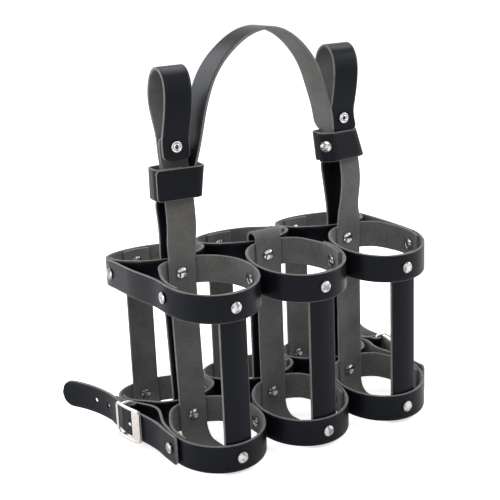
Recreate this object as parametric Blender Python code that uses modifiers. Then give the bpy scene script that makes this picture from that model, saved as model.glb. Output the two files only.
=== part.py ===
"""Leather carrier for six bottles.

Two rows of three cups hang side by side. Each cup is a top ring and a bottom ring of strap, held
by a U of strap that also carries the bottle. Two pairs of risers lead up to the keepers, the two
snap loops and the carrying handle, and a buckled strap closes each end at the bottom.

X runs along the rows, Y from the front row to the back row and Z up, all in metres.
"""

import bmesh
import bpy
from math import ceil, cos, pi, radians, sin, sqrt, tan
from mathutils import Matrix, Vector

# Strap stock and fits
LEATHER = 0.0024
GAP = 0.0003
BAND_WIDTH = 0.020
STRAP_WIDTH = 0.021
BEND_GAP = 0.0009

# Bottle and cage
BOTTLE_DIAMETER = 0.060
BOTTLE_PLAY = 0.0012
LEVEL_SPACING = 0.108
FLOOR_DROP = 0.0023
FLOOR_BEND = 0.012
ROW_GAP = 0.0012
DROOP = radians(8)
DROOP_EASE = 0.010
LAP = 0.012
LEG_SETBACK = 0.001
BAND_DENT = 0.007

# Rivets
CAP_RADIUS = 0.0042
CAP_HEIGHT = 0.0016
POST_RADIUS = 0.0015

# Risers, which bend back and, on the right, inward from below their keepers
RISER_EASE = 0.015
REAR_RISER_EASE = 0.028
RISER_TAIL = 0.007
SET_BACK = 0.0065
SET_BACK_DROP = 0.024
SET_BACK_RUN = 0.034
FRONT_LEANS = {"left": 0.0, "right": 0.0035}

# Handle, with its hinge above the keepers and its arch a little off the middle
HINGE_RISE = 0.0035
ARCH_RISE = 0.0265
ARCH_RADIUS = 0.0495
ARCH_SHIFT = 0.0030
TWIST_LENGTH = 0.022

# Sideways place of the rear risers as shares of the strap's width, inward positive, at the
# cage's top, the keeper's two edges and the handle's bend
LEAN_SHARES = {"left": (0.0, -0.20, 0.20, 0.40), "right": (0.0, 0.34, 0.56, 0.60)}

# Keepers, with their heights above the cage's top edge
KEEPER_WIDTH = 0.022
KEEPER_CORNER = 0.0035
KEEPER_LAP = 0.014
KEEPER_HEIGHTS = {"left": 0.0425, "right": 0.0510}
KEEPER_RIVET_INSET = 0.0055
KEEPER_PLAY = 0.0018

# Snap loops
LOOP_DEPTH = 0.0215
LOOP_RISE = 0.0520
LOOP_RIVET_RISE = 0.0165
LOOP_TAIL = 0.006
SNAP_RISES = {"left": 0.0145, "right": 0.0090}
FLAP_CLEARANCE = 0.0020
SNAP_RADIUS = 0.0041
SNAP_FLANGE = 0.0006
SNAP_BORE = 0.0010
NUB_RADIUS = 0.0021
NUB_HEIGHT = 0.0016

# Buckled end straps, with the centre bar's place measured from the back row's rivet
BILLET_LEAD = 0.0100
BILLET_START = 0.0125
BILLET_FALL = 0.0006
BUCKLE_SETBACK = 0.0200
BUCKLE_TAIL = 0.0080
BAR_RADIUS = 0.0012
BAR_TO_EDGE = 0.0160
FRAME_LENGTH = 0.0375
FRAME_HEIGHT = 0.0300
FRAME_WIRE = 0.0012
FRAME_RISE = 0.0088
FRAME_CREST = 0.0040
FRAME_CURVE = 0.0720
PLATE_LENGTH = 0.0095
NOTCH_DEPTH = 0.0020
TONGUE_RADIUS = 0.0009
TONGUE_REST = 0.0010
TAIL_LENGTH = 0.0640
TAIL_SWEEP = 0.0170
HOLE_START = 0.0060
HOLE_PITCH = 0.0135
HOLE_RADIUS = 0.0019

# Facets
RING_STEP = radians(10)
ROUND_STEPS = 8

# Places that follow from the sizes above
LAYER = LEATHER + GAP
LEG_RADIUS = (BOTTLE_DIAMETER + BOTTLE_PLAY + LEATHER) / 2
BAND_RADIUS = LEG_RADIUS + LAYER
RING_OUTER = BAND_RADIUS + LEATHER / 2
PITCH = 2 * RING_OUTER + GAP
ROW_Y = RING_OUTER + ROW_GAP / 2
BAND_HEIGHTS = {"bottom": FLOOR_DROP + BAND_WIDTH / 2}
BAND_HEIGHTS["top"] = BAND_HEIGHTS["bottom"] + LEVEL_SPACING
FRONT_RISER_Y = LEG_RADIUS - ROW_Y
STUD_Y = FRONT_RISER_Y + SET_BACK
LOOP_BACK_Y = STUD_Y + LAYER
REAR_RISER_Y = LOOP_BACK_Y + LAYER + CAP_HEIGHT + GAP
STUD_ROOM = NUB_HEIGHT + 2 * GAP
FLAP_Y = STUD_Y - LAYER - STUD_ROOM + GAP
HINGE_HEIGHT = max(KEEPER_HEIGHTS.values()) + KEEPER_WIDTH + HINGE_RISE
SIDES = {"left": -1, "right": 1}
HOLLOW = LEG_RADIUS - LEATHER / 2
CAP_SEAT = CAP_RADIUS * CAP_RADIUS / (2 * HOLLOW) + HOLLOW * (1 - cos(RING_STEP / 2))
END_OUT = PITCH + BAND_RADIUS
FOLD_RADIUS = BAR_RADIUS + GAP + LEATHER / 2
BAR_OUT = END_OUT + LAYER + FOLD_RADIUS
BAR_Y = ROW_Y - BUCKLE_SETBACK
BILLET_OUT = BAR_OUT + FOLD_RADIUS + LAYER
FRAME_Y = BAR_Y + BAR_TO_EDGE
TAIL_Y = FRAME_Y + GAP
TONGUE_LENGTH = FRAME_LENGTH - BAR_TO_EDGE - PLATE_LENGTH + TONGUE_REST


def droop_ease(y):
    """Distance from the middle line, rounded off where the two rows meet."""
    return sqrt(y * y + DROOP_EASE * DROOP_EASE)


def lift(y):
    """Both rows sag outward from the risers, so the rings rise toward the middle line."""
    return tan(DROOP) * (droop_ease(ROW_Y + RING_OUTER) - droop_ease(y))


CAGE_TOP = BAND_HEIGHTS["top"] + BAND_WIDTH / 2 + lift(0)


def ease(share):
    """A smooth step from 0 to 1 over a share that runs from 0 to 1."""
    share = min(max(share, 0.0), 1.0)
    return share * share * (3 - 2 * share)


def mix(low, high, share):
    return low + (high - low) * share


def spread(low, high, step):
    """Values from low to high, both included, no further apart than the step."""
    count = max(1, ceil(abs(high - low) / step - 1e-6))
    return [mix(low, high, i / count) for i in range(count + 1)]


def smooth_line(points, pieces):
    """A Catmull-Rom curve through the points, with that many pieces between neighbours."""
    padded = [2 * points[0] - points[1], *points, 2 * points[-1] - points[-2]]
    line = []
    for a, b, c, d in zip(padded, padded[1:], padded[2:], padded[3:]):
        for i in range(pieces):
            t = i / pieces
            line.append(0.5 * (2 * b + (c - a) * t + (2 * a - 5 * b + 4 * c - d) * t * t
                               + (3 * b - a - 3 * c + d) * t * t * t))
    return [*line, points[-1]]


# Scene helpers


def new_collection(name):
    collection = bpy.data.collections.new(name)
    bpy.context.scene.collection.children.link(collection)
    return collection


def clear_scene():
    for obj in list(bpy.data.objects):
        bpy.data.objects.remove(obj, do_unlink=True)


def new_material(name, colour, roughness, metallic):
    material = bpy.data.materials.new(name)
    material.use_nodes = True
    shader = material.node_tree.nodes["Principled BSDF"]
    shader.inputs["Base Color"].default_value = (*colour, 1)
    shader.inputs["Roughness"].default_value = roughness
    shader.inputs["Metallic"].default_value = metallic
    return material


clear_scene()
CARRIER = new_collection("leather_bottle_carrier")
CUTTERS = new_collection("cutters")
GRAIN = new_material("black_leather", (0.017, 0.018, 0.021), 0.45, 0.0)
NICKEL = new_material("nickel", (0.78, 0.75, 0.73), 0.22, 1.0)


def add_object(name, mesh, material, collection=CARRIER):
    obj = bpy.data.objects.new(name, mesh)
    collection.objects.link(obj)
    mesh.materials.append(material)
    return obj


def hide(obj):
    obj.hide_render = True
    obj.display_type = "WIRE"


def mesh_from(bm, name):
    mesh = bpy.data.meshes.new(name)
    bm.to_mesh(mesh)
    bm.free()
    return mesh


def move_origin(obj, pivot):
    """Puts a moving piece's origin on its joint's axis and leaves its shape where it is."""
    obj.data.transform(Matrix.Translation(-Vector(pivot)))
    obj.location = pivot


def boolean(obj, other, operation):
    modifier = obj.modifiers.new(operation.lower(), "BOOLEAN")
    modifier.operation = operation
    modifier.object = other
    modifier.solver = "EXACT"


# Straps


def strap(name, stations, width, cups=None, shares=None, pieces=1):
    """A strip of leather bent along a line.

    A station is (centre, across): a point of the strap's middle line and the unit direction of
    its width. cups gives each station the vector by which the strap's edges leave its centre
    plane, for a strap that is curved across its width. shares gives each its part of the width,
    and pieces is how many facets lie across it.
    """
    last = len(stations) - 1
    bm = bmesh.new()
    bmesh.ops.create_grid(bm, x_segments=last, y_segments=pieces, size=0.5)
    for vert in bm.verts:
        index = round((vert.co.x + 0.5) * last)
        side = 2 * vert.co.y
        centre, across = stations[index]
        share = shares[index] if shares else 1
        place = centre + across * (side * width * share / 2)
        if cups:
            place += cups[index] * (side * side)
        vert.co = place
    obj = add_object(name, mesh_from(bm, name), GRAIN)
    wall = obj.modifiers.new("leather", "SOLIDIFY")
    wall.thickness = LEATHER
    wall.offset = 0
    wall.use_even_offset = True
    return obj


def standing(line):
    """Stations of a strap that stands on edge along points (x, y, z of its middle)."""
    return [(Vector((x, y, z + lift(y))), Vector((0, 0, 1))) for x, y, z in line]


def punch(obj, holes, radius=POST_RADIUS + GAP):
    """Round holes through a strap, each a (centre, axis, depth)."""
    bm = bmesh.new()
    for centre, axis, depth in holes:
        turn = Vector(axis).to_track_quat("Z", "Y").to_matrix().to_4x4()
        place = Matrix.Translation(centre) @ turn
        bmesh.ops.create_cone(bm, cap_ends=True, segments=ROUND_STEPS, radius1=radius,
                              radius2=radius, depth=depth, matrix=place)
    cutter = add_object(f"{obj.name}_holes", mesh_from(bm, "holes"), GRAIN, CUTTERS)
    hide(cutter)
    boolean(obj, cutter, "DIFFERENCE")


# Turned metal


def turned(name, profile, centre, axis, collection=CARRIER, closed=False):
    """A profile of (radius, height) points turned about an axis through the centre."""
    bm = bmesh.new()
    verts = [bm.verts.new((radius, 0, height)) for radius, height in profile]
    pairs = list(zip(verts, verts[1:]))
    if closed:
        pairs.append((verts[-1], verts[0]))
    for pair in pairs:
        bm.edges.new(pair)
    obj = add_object(name, mesh_from(bm, name), NICKEL, collection)
    obj.location = centre
    obj.rotation_euler = Vector(axis).to_track_quat("Z", "Y").to_euler()
    screw = obj.modifiers.new("turn", "SCREW")
    screw.axis = "Z"
    screw.steps = ROUND_STEPS
    screw.render_steps = ROUND_STEPS
    screw.use_merge_vertices = True
    screw.merge_threshold = GAP / 10
    screw.use_smooth_shade = True
    return obj


def rivet(name, centre, axis, grip, collection=CARRIER):
    """A double cap rivet whose caps lie a gap off both faces of what it grips."""
    seat = grip / 2 + GAP
    crown = seat + CAP_HEIGHT
    shoulder = seat + CAP_HEIGHT * 0.62
    half = [(0, crown), (CAP_RADIUS * 0.62, shoulder + CAP_HEIGHT * 0.18), (CAP_RADIUS, seat),
            (POST_RADIUS, seat)]
    profile = half + [(radius, -height) for radius, height in reversed(half)]
    return turned(name, profile, centre, axis, collection)


# Rings of the cage


def ring_point(centre, radius, angle, level):
    x, y = centre
    return (x + radius * cos(angle), y + radius * sin(angle), BAND_HEIGHTS[level])


def lapped_radius(past_end):
    """Radius along a ring's inner end: under the other layer first, then out to the ring's own."""
    under = LAP / BAND_RADIUS + radians(30)
    return BAND_RADIUS - LAYER * (1 - ease((past_end - under) / radians(30)))


def dent(share):
    """How far the bottom end band bows inward, by its share of the way between the rings."""
    return BAND_DENT * sin(pi * share) ** 4


def end_band(side, level):
    """One strap that makes a front ring, the end of the cage and the back ring behind it."""
    sign = SIDES[side]
    lap = LAP / BAND_RADIUS
    turns = spread(0, 2 * pi, RING_STEP)
    line = []
    centre = (PITCH, -ROW_Y)
    for turn in spread(-lap, 0, RING_STEP)[:-1]:
        line.append(ring_point(centre, lapped_radius(0), turn, level))
    for turn in turns:
        line.append(ring_point(centre, lapped_radius(turn + lap), turn, level))
    bow = dent if level == "bottom" else (lambda share: 0)
    for share in spread(0, 1, 1 / 8)[1:-1]:
        x = PITCH + BAND_RADIUS - bow(share)
        line.append((x, mix(-ROW_Y, ROW_Y, share), BAND_HEIGHTS[level]))
    centre = (PITCH, ROW_Y)
    for turn in turns:
        line.append(ring_point(centre, lapped_radius(2 * pi - turn + lap), turn, level))
    for turn in spread(0, lap, RING_STEP)[1:]:
        line.append(ring_point(centre, lapped_radius(0), turn, level))
    line = [(sign * x, y, z) for x, y, z in line]
    band = strap(f"end_band_{side}_{level}", standing(line), BAND_WIDTH)
    holes = []
    for x, y, axis, depth in band_holes(SIDES[side] * PITCH, (-ROW_Y, ROW_Y)):
        holes.append(((x, y, BAND_HEIGHTS[level] + lift(y)), axis, depth))
    punch(band, holes)


def band_holes(x, rows):
    """Holes of the rings at x: one at each side for the ring rivets and one for each leg."""
    along, through = Vector((1, 0, 0)), Vector((0, 1, 0))
    wall = 2 * (ROW_Y - BAND_RADIUS) - GAP
    places = []
    for y in rows:
        for sign in (-1, 1):
            places.append((x + sign * BAND_RADIUS, y, along, 4 * LEATHER))
            places.append((x, y + sign * BAND_RADIUS, through, wall))
    return places


def middle_band(row, level):
    """A closed ring whose ends lap on its right side."""
    y = -ROW_Y if row == "front" else ROW_Y
    lap = LAP / BAND_RADIUS
    turns = spread(-lap, 0, RING_STEP)[:-1] + spread(0, 2 * pi, RING_STEP)
    turns += [2 * pi + turn for turn in spread(0, lap, RING_STEP)[1:]]
    line = [ring_point((0, y), lapped_radius(turn + lap), turn, level) for turn in turns]
    band = strap(f"middle_band_{row}_{level}", standing(line), BAND_WIDTH)
    holes = []
    for x, hole_y, axis, depth in band_holes(0, [y]):
        holes.append(((x, hole_y, BAND_HEIGHTS[level] + lift(hole_y)), axis, depth))
    punch(band, holes)


def ring_rivets():
    """The rivets between neighbouring rings and at the ends of the rows."""
    for level, height in BAND_HEIGHTS.items():
        for row, y in (("front", -ROW_Y), ("back", ROW_Y)):
            z = height + lift(y)
            along = (1, 0, 0)
            two, three = 2 * LEATHER + GAP, 3 * LEATHER + 2 * GAP
            x = -PITCH / 2
            rivet(f"ring_rivet_left_{row}_{level}", (x, y, z), along, two + 2 * CAP_SEAT)
            x = PITCH / 2 - LAYER / 2
            rivet(f"ring_rivet_right_{row}_{level}", (x, y, z), along, three + 2 * CAP_SEAT)
            for side, sign in SIDES.items():
                layers = outer_layers(row, level)
                grip = layers * LEATHER + (layers - 1) * GAP + CAP_SEAT
                middle = PITCH + BAND_RADIUS - LAYER + (layers - 1) * LAYER / 2 - CAP_SEAT / 2
                name = f"end_rivet_{side}_{row}_{level}"
                rivet(name, (sign * middle, y, z), (sign, 0, 0), grip)


def outer_layers(row, level):
    """Leather layers under an end rivet: the band's own two, and what the buckle strap adds."""
    if level == "top":
        return 2
    return 3 if row == "front" else 4


# Legs

LEG_TOP = BAND_HEIGHTS["top"] + BAND_WIDTH / 2 - LEG_SETBACK
LEG_BEND = LEATHER / 2 + FLOOR_BEND
LEG_STEP = 0.024


def leg_side(yc, side, upward):
    """Places along one upright of a U: (x shift, y, z, cup)."""
    y = yc + side * LEG_RADIUS
    ends = (LEG_BEND, LEG_TOP + lift(y))
    return [(0.0, y, z, 1.0) for z in spread(*(ends if upward else reversed(ends)), LEG_STEP)]


def leg_floor(yc):
    """The U's two bends and its level floor, from the front bend to the back bend."""
    places = []
    low = LEATHER / 2
    for angle in spread(0, pi / 2, radians(18))[1:]:
        y = yc - LEG_RADIUS + FLOOR_BEND * (1 - cos(angle))
        places.append((0.0, y, low + FLOOR_BEND * (1 - sin(angle)), 1 - ease(2 * angle / pi)))
    back = [(x, 2 * yc - y, z, cup) for x, y, z, cup in reversed(places)]
    return places + [(0.0, yc, low, 0.0)] + back[:-1]


def leg_u(yc):
    """A whole U, down its front, along the floor and up its back."""
    return leg_side(yc, -1, False) + leg_floor(yc) + [(0.0, *p[1:]) for p in leg_side(yc, 1, True)]


def leg_strap(name, x, rows, places):
    """A leg strap through (x shift, y, z, cup) places, cupped to its ring, with its rivets."""
    stations, cups = [], []
    sagitta = LEG_RADIUS * (1 - cos(STRAP_WIDTH / 2 / LEG_RADIUS))
    for shift, y, z, cup in places:
        stations.append((Vector((x + shift, y, z)), Vector((1, 0, 0))))
        centre = min(rows, key=lambda row: abs(row - y))
        cups.append(Vector((0, sagitta * cup * (1 if y < centre else -1), 0)))
    obj = strap(name, stations, STRAP_WIDTH, cups, pieces=4)
    for level, height in BAND_HEIGHTS.items():
        for yc in rows:
            side = -1 if yc < 0 else 1
            y = yc + side * (LEG_RADIUS + BAND_RADIUS) / 2
            z = height + lift(yc + side * BAND_RADIUS)
            fuse_rivet(obj, (x, y, z), 2 * LEATHER + GAP)
        z = height + lift(ROW_Y - BAND_RADIUS)
        if -ROW_Y in rows:
            fuse_rivet(obj, (x, 0, z), 2 * (ROW_Y - LEG_RADIUS) + LEATHER + 2 * CAP_SEAT)
        else:
            punch(obj, [(Vector((x, ROW_Y - LEG_RADIUS, z)), Vector((0, 1, 0)), 2 * LEATHER)])
    return obj


def fuse_rivet(obj, centre, grip):
    """Makes a rivet one piece with the leg strap that it holds."""
    fused = rivet(f"{obj.name}_rivet_{len(obj.modifiers)}", centre, (0, -1, 0), grip, CUTTERS)
    hide(fused)
    boolean(obj, fused, "UNION")


def riser_cup(z):
    """Risers are cupped like the legs at the ring and flat a little above it."""
    return 1 - ease((z - LEG_TOP - lift(0)) / RISER_EASE)


def bent(side, z):
    """How far a front riser's bend has gone at a height, from 0 below it to 1 above it."""
    start = CAGE_TOP + KEEPER_HEIGHTS[side] - SET_BACK_DROP
    return ease((z - start) / SET_BACK_RUN)


def loop_x(side):
    """The middle of the snap loop and of what it is fixed to."""
    return SIDES[side] * (PITCH - FRONT_LEANS[side])


def loop_rivet_z(side):
    return CAGE_TOP + KEEPER_HEIGHTS[side] + LOOP_RIVET_RISE


def snap_z(side):
    return CAGE_TOP + KEEPER_HEIGHTS[side] + KEEPER_WIDTH + SNAP_RISES[side]


def front_leg_strap(side):
    """The front corner cup's U, whose back upright is the riser that carries a snap."""
    sign = SIDES[side]
    places = leg_u(-ROW_Y)
    for z in spread(places[-1][2], snap_z(side) + RISER_TAIL, RISER_EASE / 3)[1:]:
        share = bent(side, z)
        x, y = -sign * FRONT_LEANS[side] * share, FRONT_RISER_Y + SET_BACK * share
        places.append((x, y, z, riser_cup(z)))
    obj = leg_strap(f"front_leg_strap_{side}", sign * PITCH, [-ROW_Y], places)
    punch(obj, [(Vector((loop_x(side), STUD_Y, z)), Vector((0, 1, 0)), 2 * LEATHER)
                for z in (loop_rivet_z(side), snap_z(side))])


def lean(side, height):
    """Sideways place of the rear riser at a height above the cage, inward positive."""
    low = KEEPER_HEIGHTS[side]
    knots = (0.0, low, low + KEEPER_WIDTH, HINGE_HEIGHT)
    shares = LEAN_SHARES[side]
    for i in range(3):
        if height <= knots[i + 1]:
            share = (height - knots[i]) / (knots[i + 1] - knots[i])
            return STRAP_WIDTH * mix(shares[i], shares[i + 1], max(share, 0.0))
    return STRAP_WIDTH * shares[-1]


def rear_leg_strap(side):
    """The back corner cup's U, whose front upright leads up through the keeper to the handle."""
    sign = SIDES[side]
    u = leg_u(ROW_Y)
    places = []
    for z in spread(CAGE_TOP + HINGE_HEIGHT - BEND_GAP, u[0][2], RISER_EASE / 2)[:-1]:
        height = z - CAGE_TOP
        y = mix(ROW_Y - LEG_RADIUS, REAR_RISER_Y, ease(height / REAR_RISER_EASE))
        places.append((-sign * lean(side, height), y, z, riser_cup(z)))
    leg_strap(f"rear_leg_strap_{side}", sign * PITCH, [ROW_Y], places + u)


def saddle_strap():
    """The middle strap: a U in each row, joined by a fold that saddles the two rings' walls."""
    fold_radius = -FRONT_RISER_Y
    fold_base = LEG_TOP + LEG_SETBACK + LEATHER + lift(0)
    places = leg_u(-ROW_Y)
    for angle in spread(pi, 0, radians(30)):
        y, z = fold_radius * cos(angle), fold_base + fold_radius * sin(angle)
        places.append((0.0, y, z, 1 - sin(angle)))
    leg_strap("saddle_strap", 0.0, [-ROW_Y, ROW_Y], places + leg_u(ROW_Y))


# Handle


def handle():
    """The arch between the two rear risers, flat at its bends and turned square to them above."""
    stations = []
    hinge = CAGE_TOP + HINGE_HEIGHT
    springing = hinge + ARCH_RISE
    for side, sign in SIDES.items():
        leg = []
        foot = PITCH - lean(side, HINGE_HEIGHT)
        for z in spread(hinge, springing, TWIST_LENGTH / 6)[:-1]:
            share = (z - hinge) / (springing - hinge)
            twist = ease((z - hinge) / TWIST_LENGTH) * pi / 2
            x = mix(foot, ARCH_RADIUS + sign * ARCH_SHIFT, ease(share))
            across = Vector((-sign * cos(twist), -sin(twist), 0))
            leg.append((Vector((sign * x, REAR_RISER_Y, z)), across))
        if side == "left":
            stations += leg
            for angle in spread(pi, 0, radians(9)):
                x, z = ARCH_SHIFT + ARCH_RADIUS * cos(angle), springing + ARCH_RADIUS * sin(angle)
                stations.append((Vector((x, REAR_RISER_Y, z)), Vector((0, -1, 0))))
        else:
            stations += reversed(leg)
    obj = strap("handle", stations, STRAP_WIDTH, pieces=4)
    move_origin(obj, (0, REAR_RISER_Y + LEATHER / 2, hinge - BEND_GAP / 2))
    return obj


# Keepers


def keeper_box(side):
    """The room inside a keeper: (inner end, outer end, front, back) round all that it gathers."""
    low = KEEPER_HEIGHTS[side]
    reach = STRAP_WIDTH / 2 + 2 * GAP
    slant = LEATHER / 4
    share = bent(side, CAGE_TOP + low)
    places = [PITCH - lean(side, h) for h in (low, low + KEEPER_WIDTH)]
    places += [PITCH - FRONT_LEANS[side] * part for part in (share, 1)]
    inner, outer = min(places) - reach - slant, max(places) + reach + slant
    front = FRONT_RISER_Y + SET_BACK * share - LEATHER / 2 - KEEPER_PLAY
    back = REAR_RISER_Y + LEATHER / 2 + 2 * GAP
    return inner, outer, front, back


def keeper(side):
    """A loop of strap round riser, snap loop and handle end, lapped at the left of its front."""
    sign = SIDES[side]
    inner, outer, front, back = keeper_box(side)
    low_x, high_x = sorted((sign * inner, sign * outer))
    half = LEATHER / 2
    x0, x1, y0, y1 = low_x - half, high_x + half, front - half, back + half
    corner = KEEPER_CORNER
    z = CAGE_TOP + KEEPER_HEIGHTS[side] + KEEPER_WIDTH / 2

    def bend(x, y, start, radius):
        return [(x + radius * cos(a), y + radius * sin(a))
                for a in spread(radians(start), radians(start) - pi / 2, radians(30))]

    plan = [(x0 + corner + KEEPER_LAP, y0)]
    plan += bend(x0 + corner, y0 + corner, 270, corner)
    plan += bend(x0 + corner, y1 - corner, 180, corner)
    plan += bend(x1 - corner, y1 - corner, 90, corner)
    wide = corner + LAYER
    plan += [(x1 - corner + wide * cos(a), y0 + corner + wide * sin(a))
             for a in spread(0, -pi / 2, radians(30))]
    plan[-5] = (x1 + LAYER / 2, y1 - corner - LAYER)
    plan += [(x0 + corner, y0 - LAYER)]
    line = [(Vector((x, y, z)), Vector((0, 0, 1))) for x, y in plan]
    obj = strap(f"keeper_{side}", line, KEEPER_WIDTH)
    move_origin(obj, ((x0 + x1) / 2, (y0 + y1) / 2, z))
    if side == "right":
        x = x0 + corner + KEEPER_RIVET_INSET
        y = y0 - LAYER / 2
        punch(obj, [(Vector((x, y, z)), Vector((0, 1, 0)), 3 * LEATHER)])
        rivet("keeper_rivet", (x, y, z), (0, -1, 0), 2 * LEATHER + GAP)


# Snap loops


def loop_line(side):
    """The loop's middle line in the YZ plane, up the back, over the top and down the flap."""
    x, base, snap = loop_x(side), loop_rivet_z(side) - LOOP_TAIL, snap_z(side)
    crest, straight = snap + LOOP_RISE, snap + SNAP_RADIUS
    end = snap - SNAP_RISES[side] + FLAP_CLEARANCE
    back_shares = [(0, 0), (0, 0.12), (0, 0.35), (0.10, 0.45), (0.36, 0.565), (0.58, 0.68),
                   (0.66, 0.805), (0.54, 0.93), (0.22, 1.0)]
    flap_shares = [(-0.10, 0.954), (-0.28, 0.80), (-0.34, 0.582), (-0.335, 0.309)]
    back = [Vector((x, LOOP_BACK_Y + LOOP_DEPTH * y, mix(base, crest, z))) for y, z in back_shares]
    flap = [Vector((x, LOOP_BACK_Y + LOOP_DEPTH * y, mix(straight, crest, z))) for y, z in flap_shares]
    return back, flap + [Vector((x, FLAP_Y, straight)), Vector((x, FLAP_Y, end))]


def snap_loop(side):
    """The fixed back strand, and the flap that opens from the loop's top."""
    across = Vector((1, 0, 0))
    back, flap = loop_line(side)
    line = smooth_line(back + flap, 2)
    crest = 2 * (len(back) - 1)
    x, z = loop_x(side), loop_rivet_z(side)
    strand = strap(f"loop_back_{side}", [(p, across) for p in line[:crest + 1]], STRAP_WIDTH)
    punch(strand, [(Vector((x, LOOP_BACK_Y, z)), Vector((0, 1, 0)), 2 * LEATHER)])
    opening = line[crest:]
    start = opening[0] + (opening[1] - opening[0]).normalized() * BEND_GAP
    opening = [start, *opening[1:]]
    moving = strap(f"loop_flap_{side}", [(p, across) for p in opening], STRAP_WIDTH)
    punch(moving, [(Vector((x, FLAP_Y, snap_z(side))), Vector((0, 1, 0)), 2 * LEATHER)],
          NUB_RADIUS + SNAP_FLANGE + 2 * GAP)
    pivot = line[crest] + Vector((0, 0, LEATHER / 2))
    move_origin(moving, pivot)
    rivet(f"loop_rivet_{side}", (x, (STUD_Y + LOOP_BACK_Y) / 2, z), (0, -1, 0), 2 * LEATHER + GAP)
    snap_stud(side, x, snap_z(side))
    socket = snap_socket(side, x, snap_z(side))
    socket.parent = moving
    socket.location = Vector(socket.location) - Vector(pivot)


def snap_stud(side, x, z):
    """The stud on the riser: a flange and a nub in front, and a post through the leather."""
    face = LEATHER / 2
    profile = [(0, face + GAP + NUB_HEIGHT), (NUB_RADIUS * 0.8, face + GAP + NUB_HEIGHT),
               (NUB_RADIUS, face + GAP + NUB_HEIGHT * 0.7), (NUB_RADIUS * 0.85, face + GAP + SNAP_FLANGE),
               (SNAP_RADIUS * 0.9, face + GAP + SNAP_FLANGE), (SNAP_RADIUS * 0.9, face + GAP),
               (POST_RADIUS, face + GAP), (POST_RADIUS, -face), (0, -face)]
    return turned(f"snap_stud_{side}", profile, (x, STUD_Y, z), (0, -1, 0))


def snap_socket(side, x, z):
    """The socket on the flap: a ring outside, a barrel through the leather and a ring inside."""
    face = LEATHER / 2 + GAP
    barrel = NUB_RADIUS + SNAP_FLANGE + GAP
    bore = NUB_RADIUS + GAP
    crown = face + SNAP_FLANGE * 2
    profile = [(SNAP_BORE, crown - SNAP_FLANGE * 0.8), (SNAP_BORE * 2, crown), (SNAP_RADIUS * 0.8, crown),
               (SNAP_RADIUS, face + SNAP_FLANGE / 2), (SNAP_RADIUS, face), (barrel, face),
               (barrel, -face), (SNAP_RADIUS, -face), (SNAP_RADIUS, -face - SNAP_FLANGE / 2),
               (bore, -face - SNAP_FLANGE / 2), (bore, face - SNAP_FLANGE), (SNAP_BORE, face - SNAP_FLANGE)]
    return turned(f"snap_socket_{side}", profile, (x, FLAP_Y, z), (0, -1, 0), closed=True)


# Buckled end straps


def wire(name, points, radius, closed=False, collection=CARRIER):
    """A round wire bent along the points."""
    curve = bpy.data.curves.new(name, "CURVE")
    curve.dimensions = "3D"
    curve.bevel_depth = radius
    curve.bevel_resolution = 2
    curve.use_fill_caps = True
    spline = curve.splines.new("POLY")
    spline.points.add(len(points) - 1)
    for point, place in zip(spline.points, points):
        point.co = (*place, 1)
    spline.use_cyclic_u = closed
    bent = bpy.data.objects.new(name + "_line", curve)
    CUTTERS.objects.link(bent)
    mesh = bpy.data.meshes.new_from_object(bent)
    bpy.data.objects.remove(bent)
    return add_object(name, mesh, NICKEL, collection)


def buckle_height(y):
    """Height of the billet's middle: its rivet's at the front, and the centre bar's from there back."""
    share = ease((y + ROW_Y) / (BAR_Y + ROW_Y))
    return BAND_HEIGHTS["bottom"] + mix(lift(ROW_Y), lift(BAR_Y), share)


def billet_out(y):
    """How far out the billet's middle lies: on the ring at the front, over the bar at the back."""
    start = -ROW_Y + BILLET_START
    rise = ease((y - start) / (BAR_Y - start))
    fall = BILLET_FALL * ease((y - BAR_Y) / (TAIL_Y - BAR_Y))
    return mix(END_OUT + LAYER, BILLET_OUT, rise) - fall


def billet(side):
    """The strap from the front ring, under the buckle's plate, over its bar and under its edge."""
    sign = SIDES[side]
    up = Vector((0, 0, 1))
    stations = []
    for y in spread(-ROW_Y - BILLET_LEAD, TAIL_Y, STRAP_WIDTH / 6):
        stations.append((Vector((sign * billet_out(y), y, buckle_height(y))), up))
    obj = strap(f"billet_{side}", stations, STRAP_WIDTH)
    place = Vector((sign * (END_OUT + LAYER), -ROW_Y, buckle_height(-ROW_Y)))
    punch(obj, [(place, Vector((1, 0, 0)), 2 * LEATHER)])
    y = BAR_Y - TONGUE_LENGTH * (TONGUE_SHARES[2][1] + TONGUE_SHARES[3][1]) / 2
    place = Vector((sign * billet_out(y), y, buckle_height(BAR_Y)))
    punch(obj, [(place, Vector((1, 0, 0)), 4 * LEATHER)], 3 * TONGUE_RADIUS)
    billet_tail(side)


def billet_tail(side):
    """The billet's free end beyond the buckle, with its spare holes."""
    sign = SIDES[side]
    start = TAIL_Y + BEND_GAP
    z = buckle_height(BAR_Y)
    out = billet_out(start)

    def place(along):
        share = along / TAIL_LENGTH
        return Vector((sign * (out + TAIL_SWEEP * share * share), start + along, z))

    steps = spread(0, TAIL_LENGTH, TAIL_LENGTH / 12)
    shares = [1.0] * (len(steps) - 2) + [0.92, 0.55]
    obj = strap(f"billet_tail_{side}", [(place(a), Vector((0, 0, 1))) for a in steps], STRAP_WIDTH,
                shares=shares)
    holes = []
    for i in range(3):
        along = HOLE_START + i * HOLE_PITCH
        slope = 2 * TAIL_SWEEP * along / (TAIL_LENGTH * TAIL_LENGTH)
        holes.append((place(along), Vector((1, -sign * slope, 0)), 2 * LEATHER))
    punch(obj, holes, HOLE_RADIUS)
    move_origin(obj, (sign * out, start - BEND_GAP / 2, z))


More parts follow.
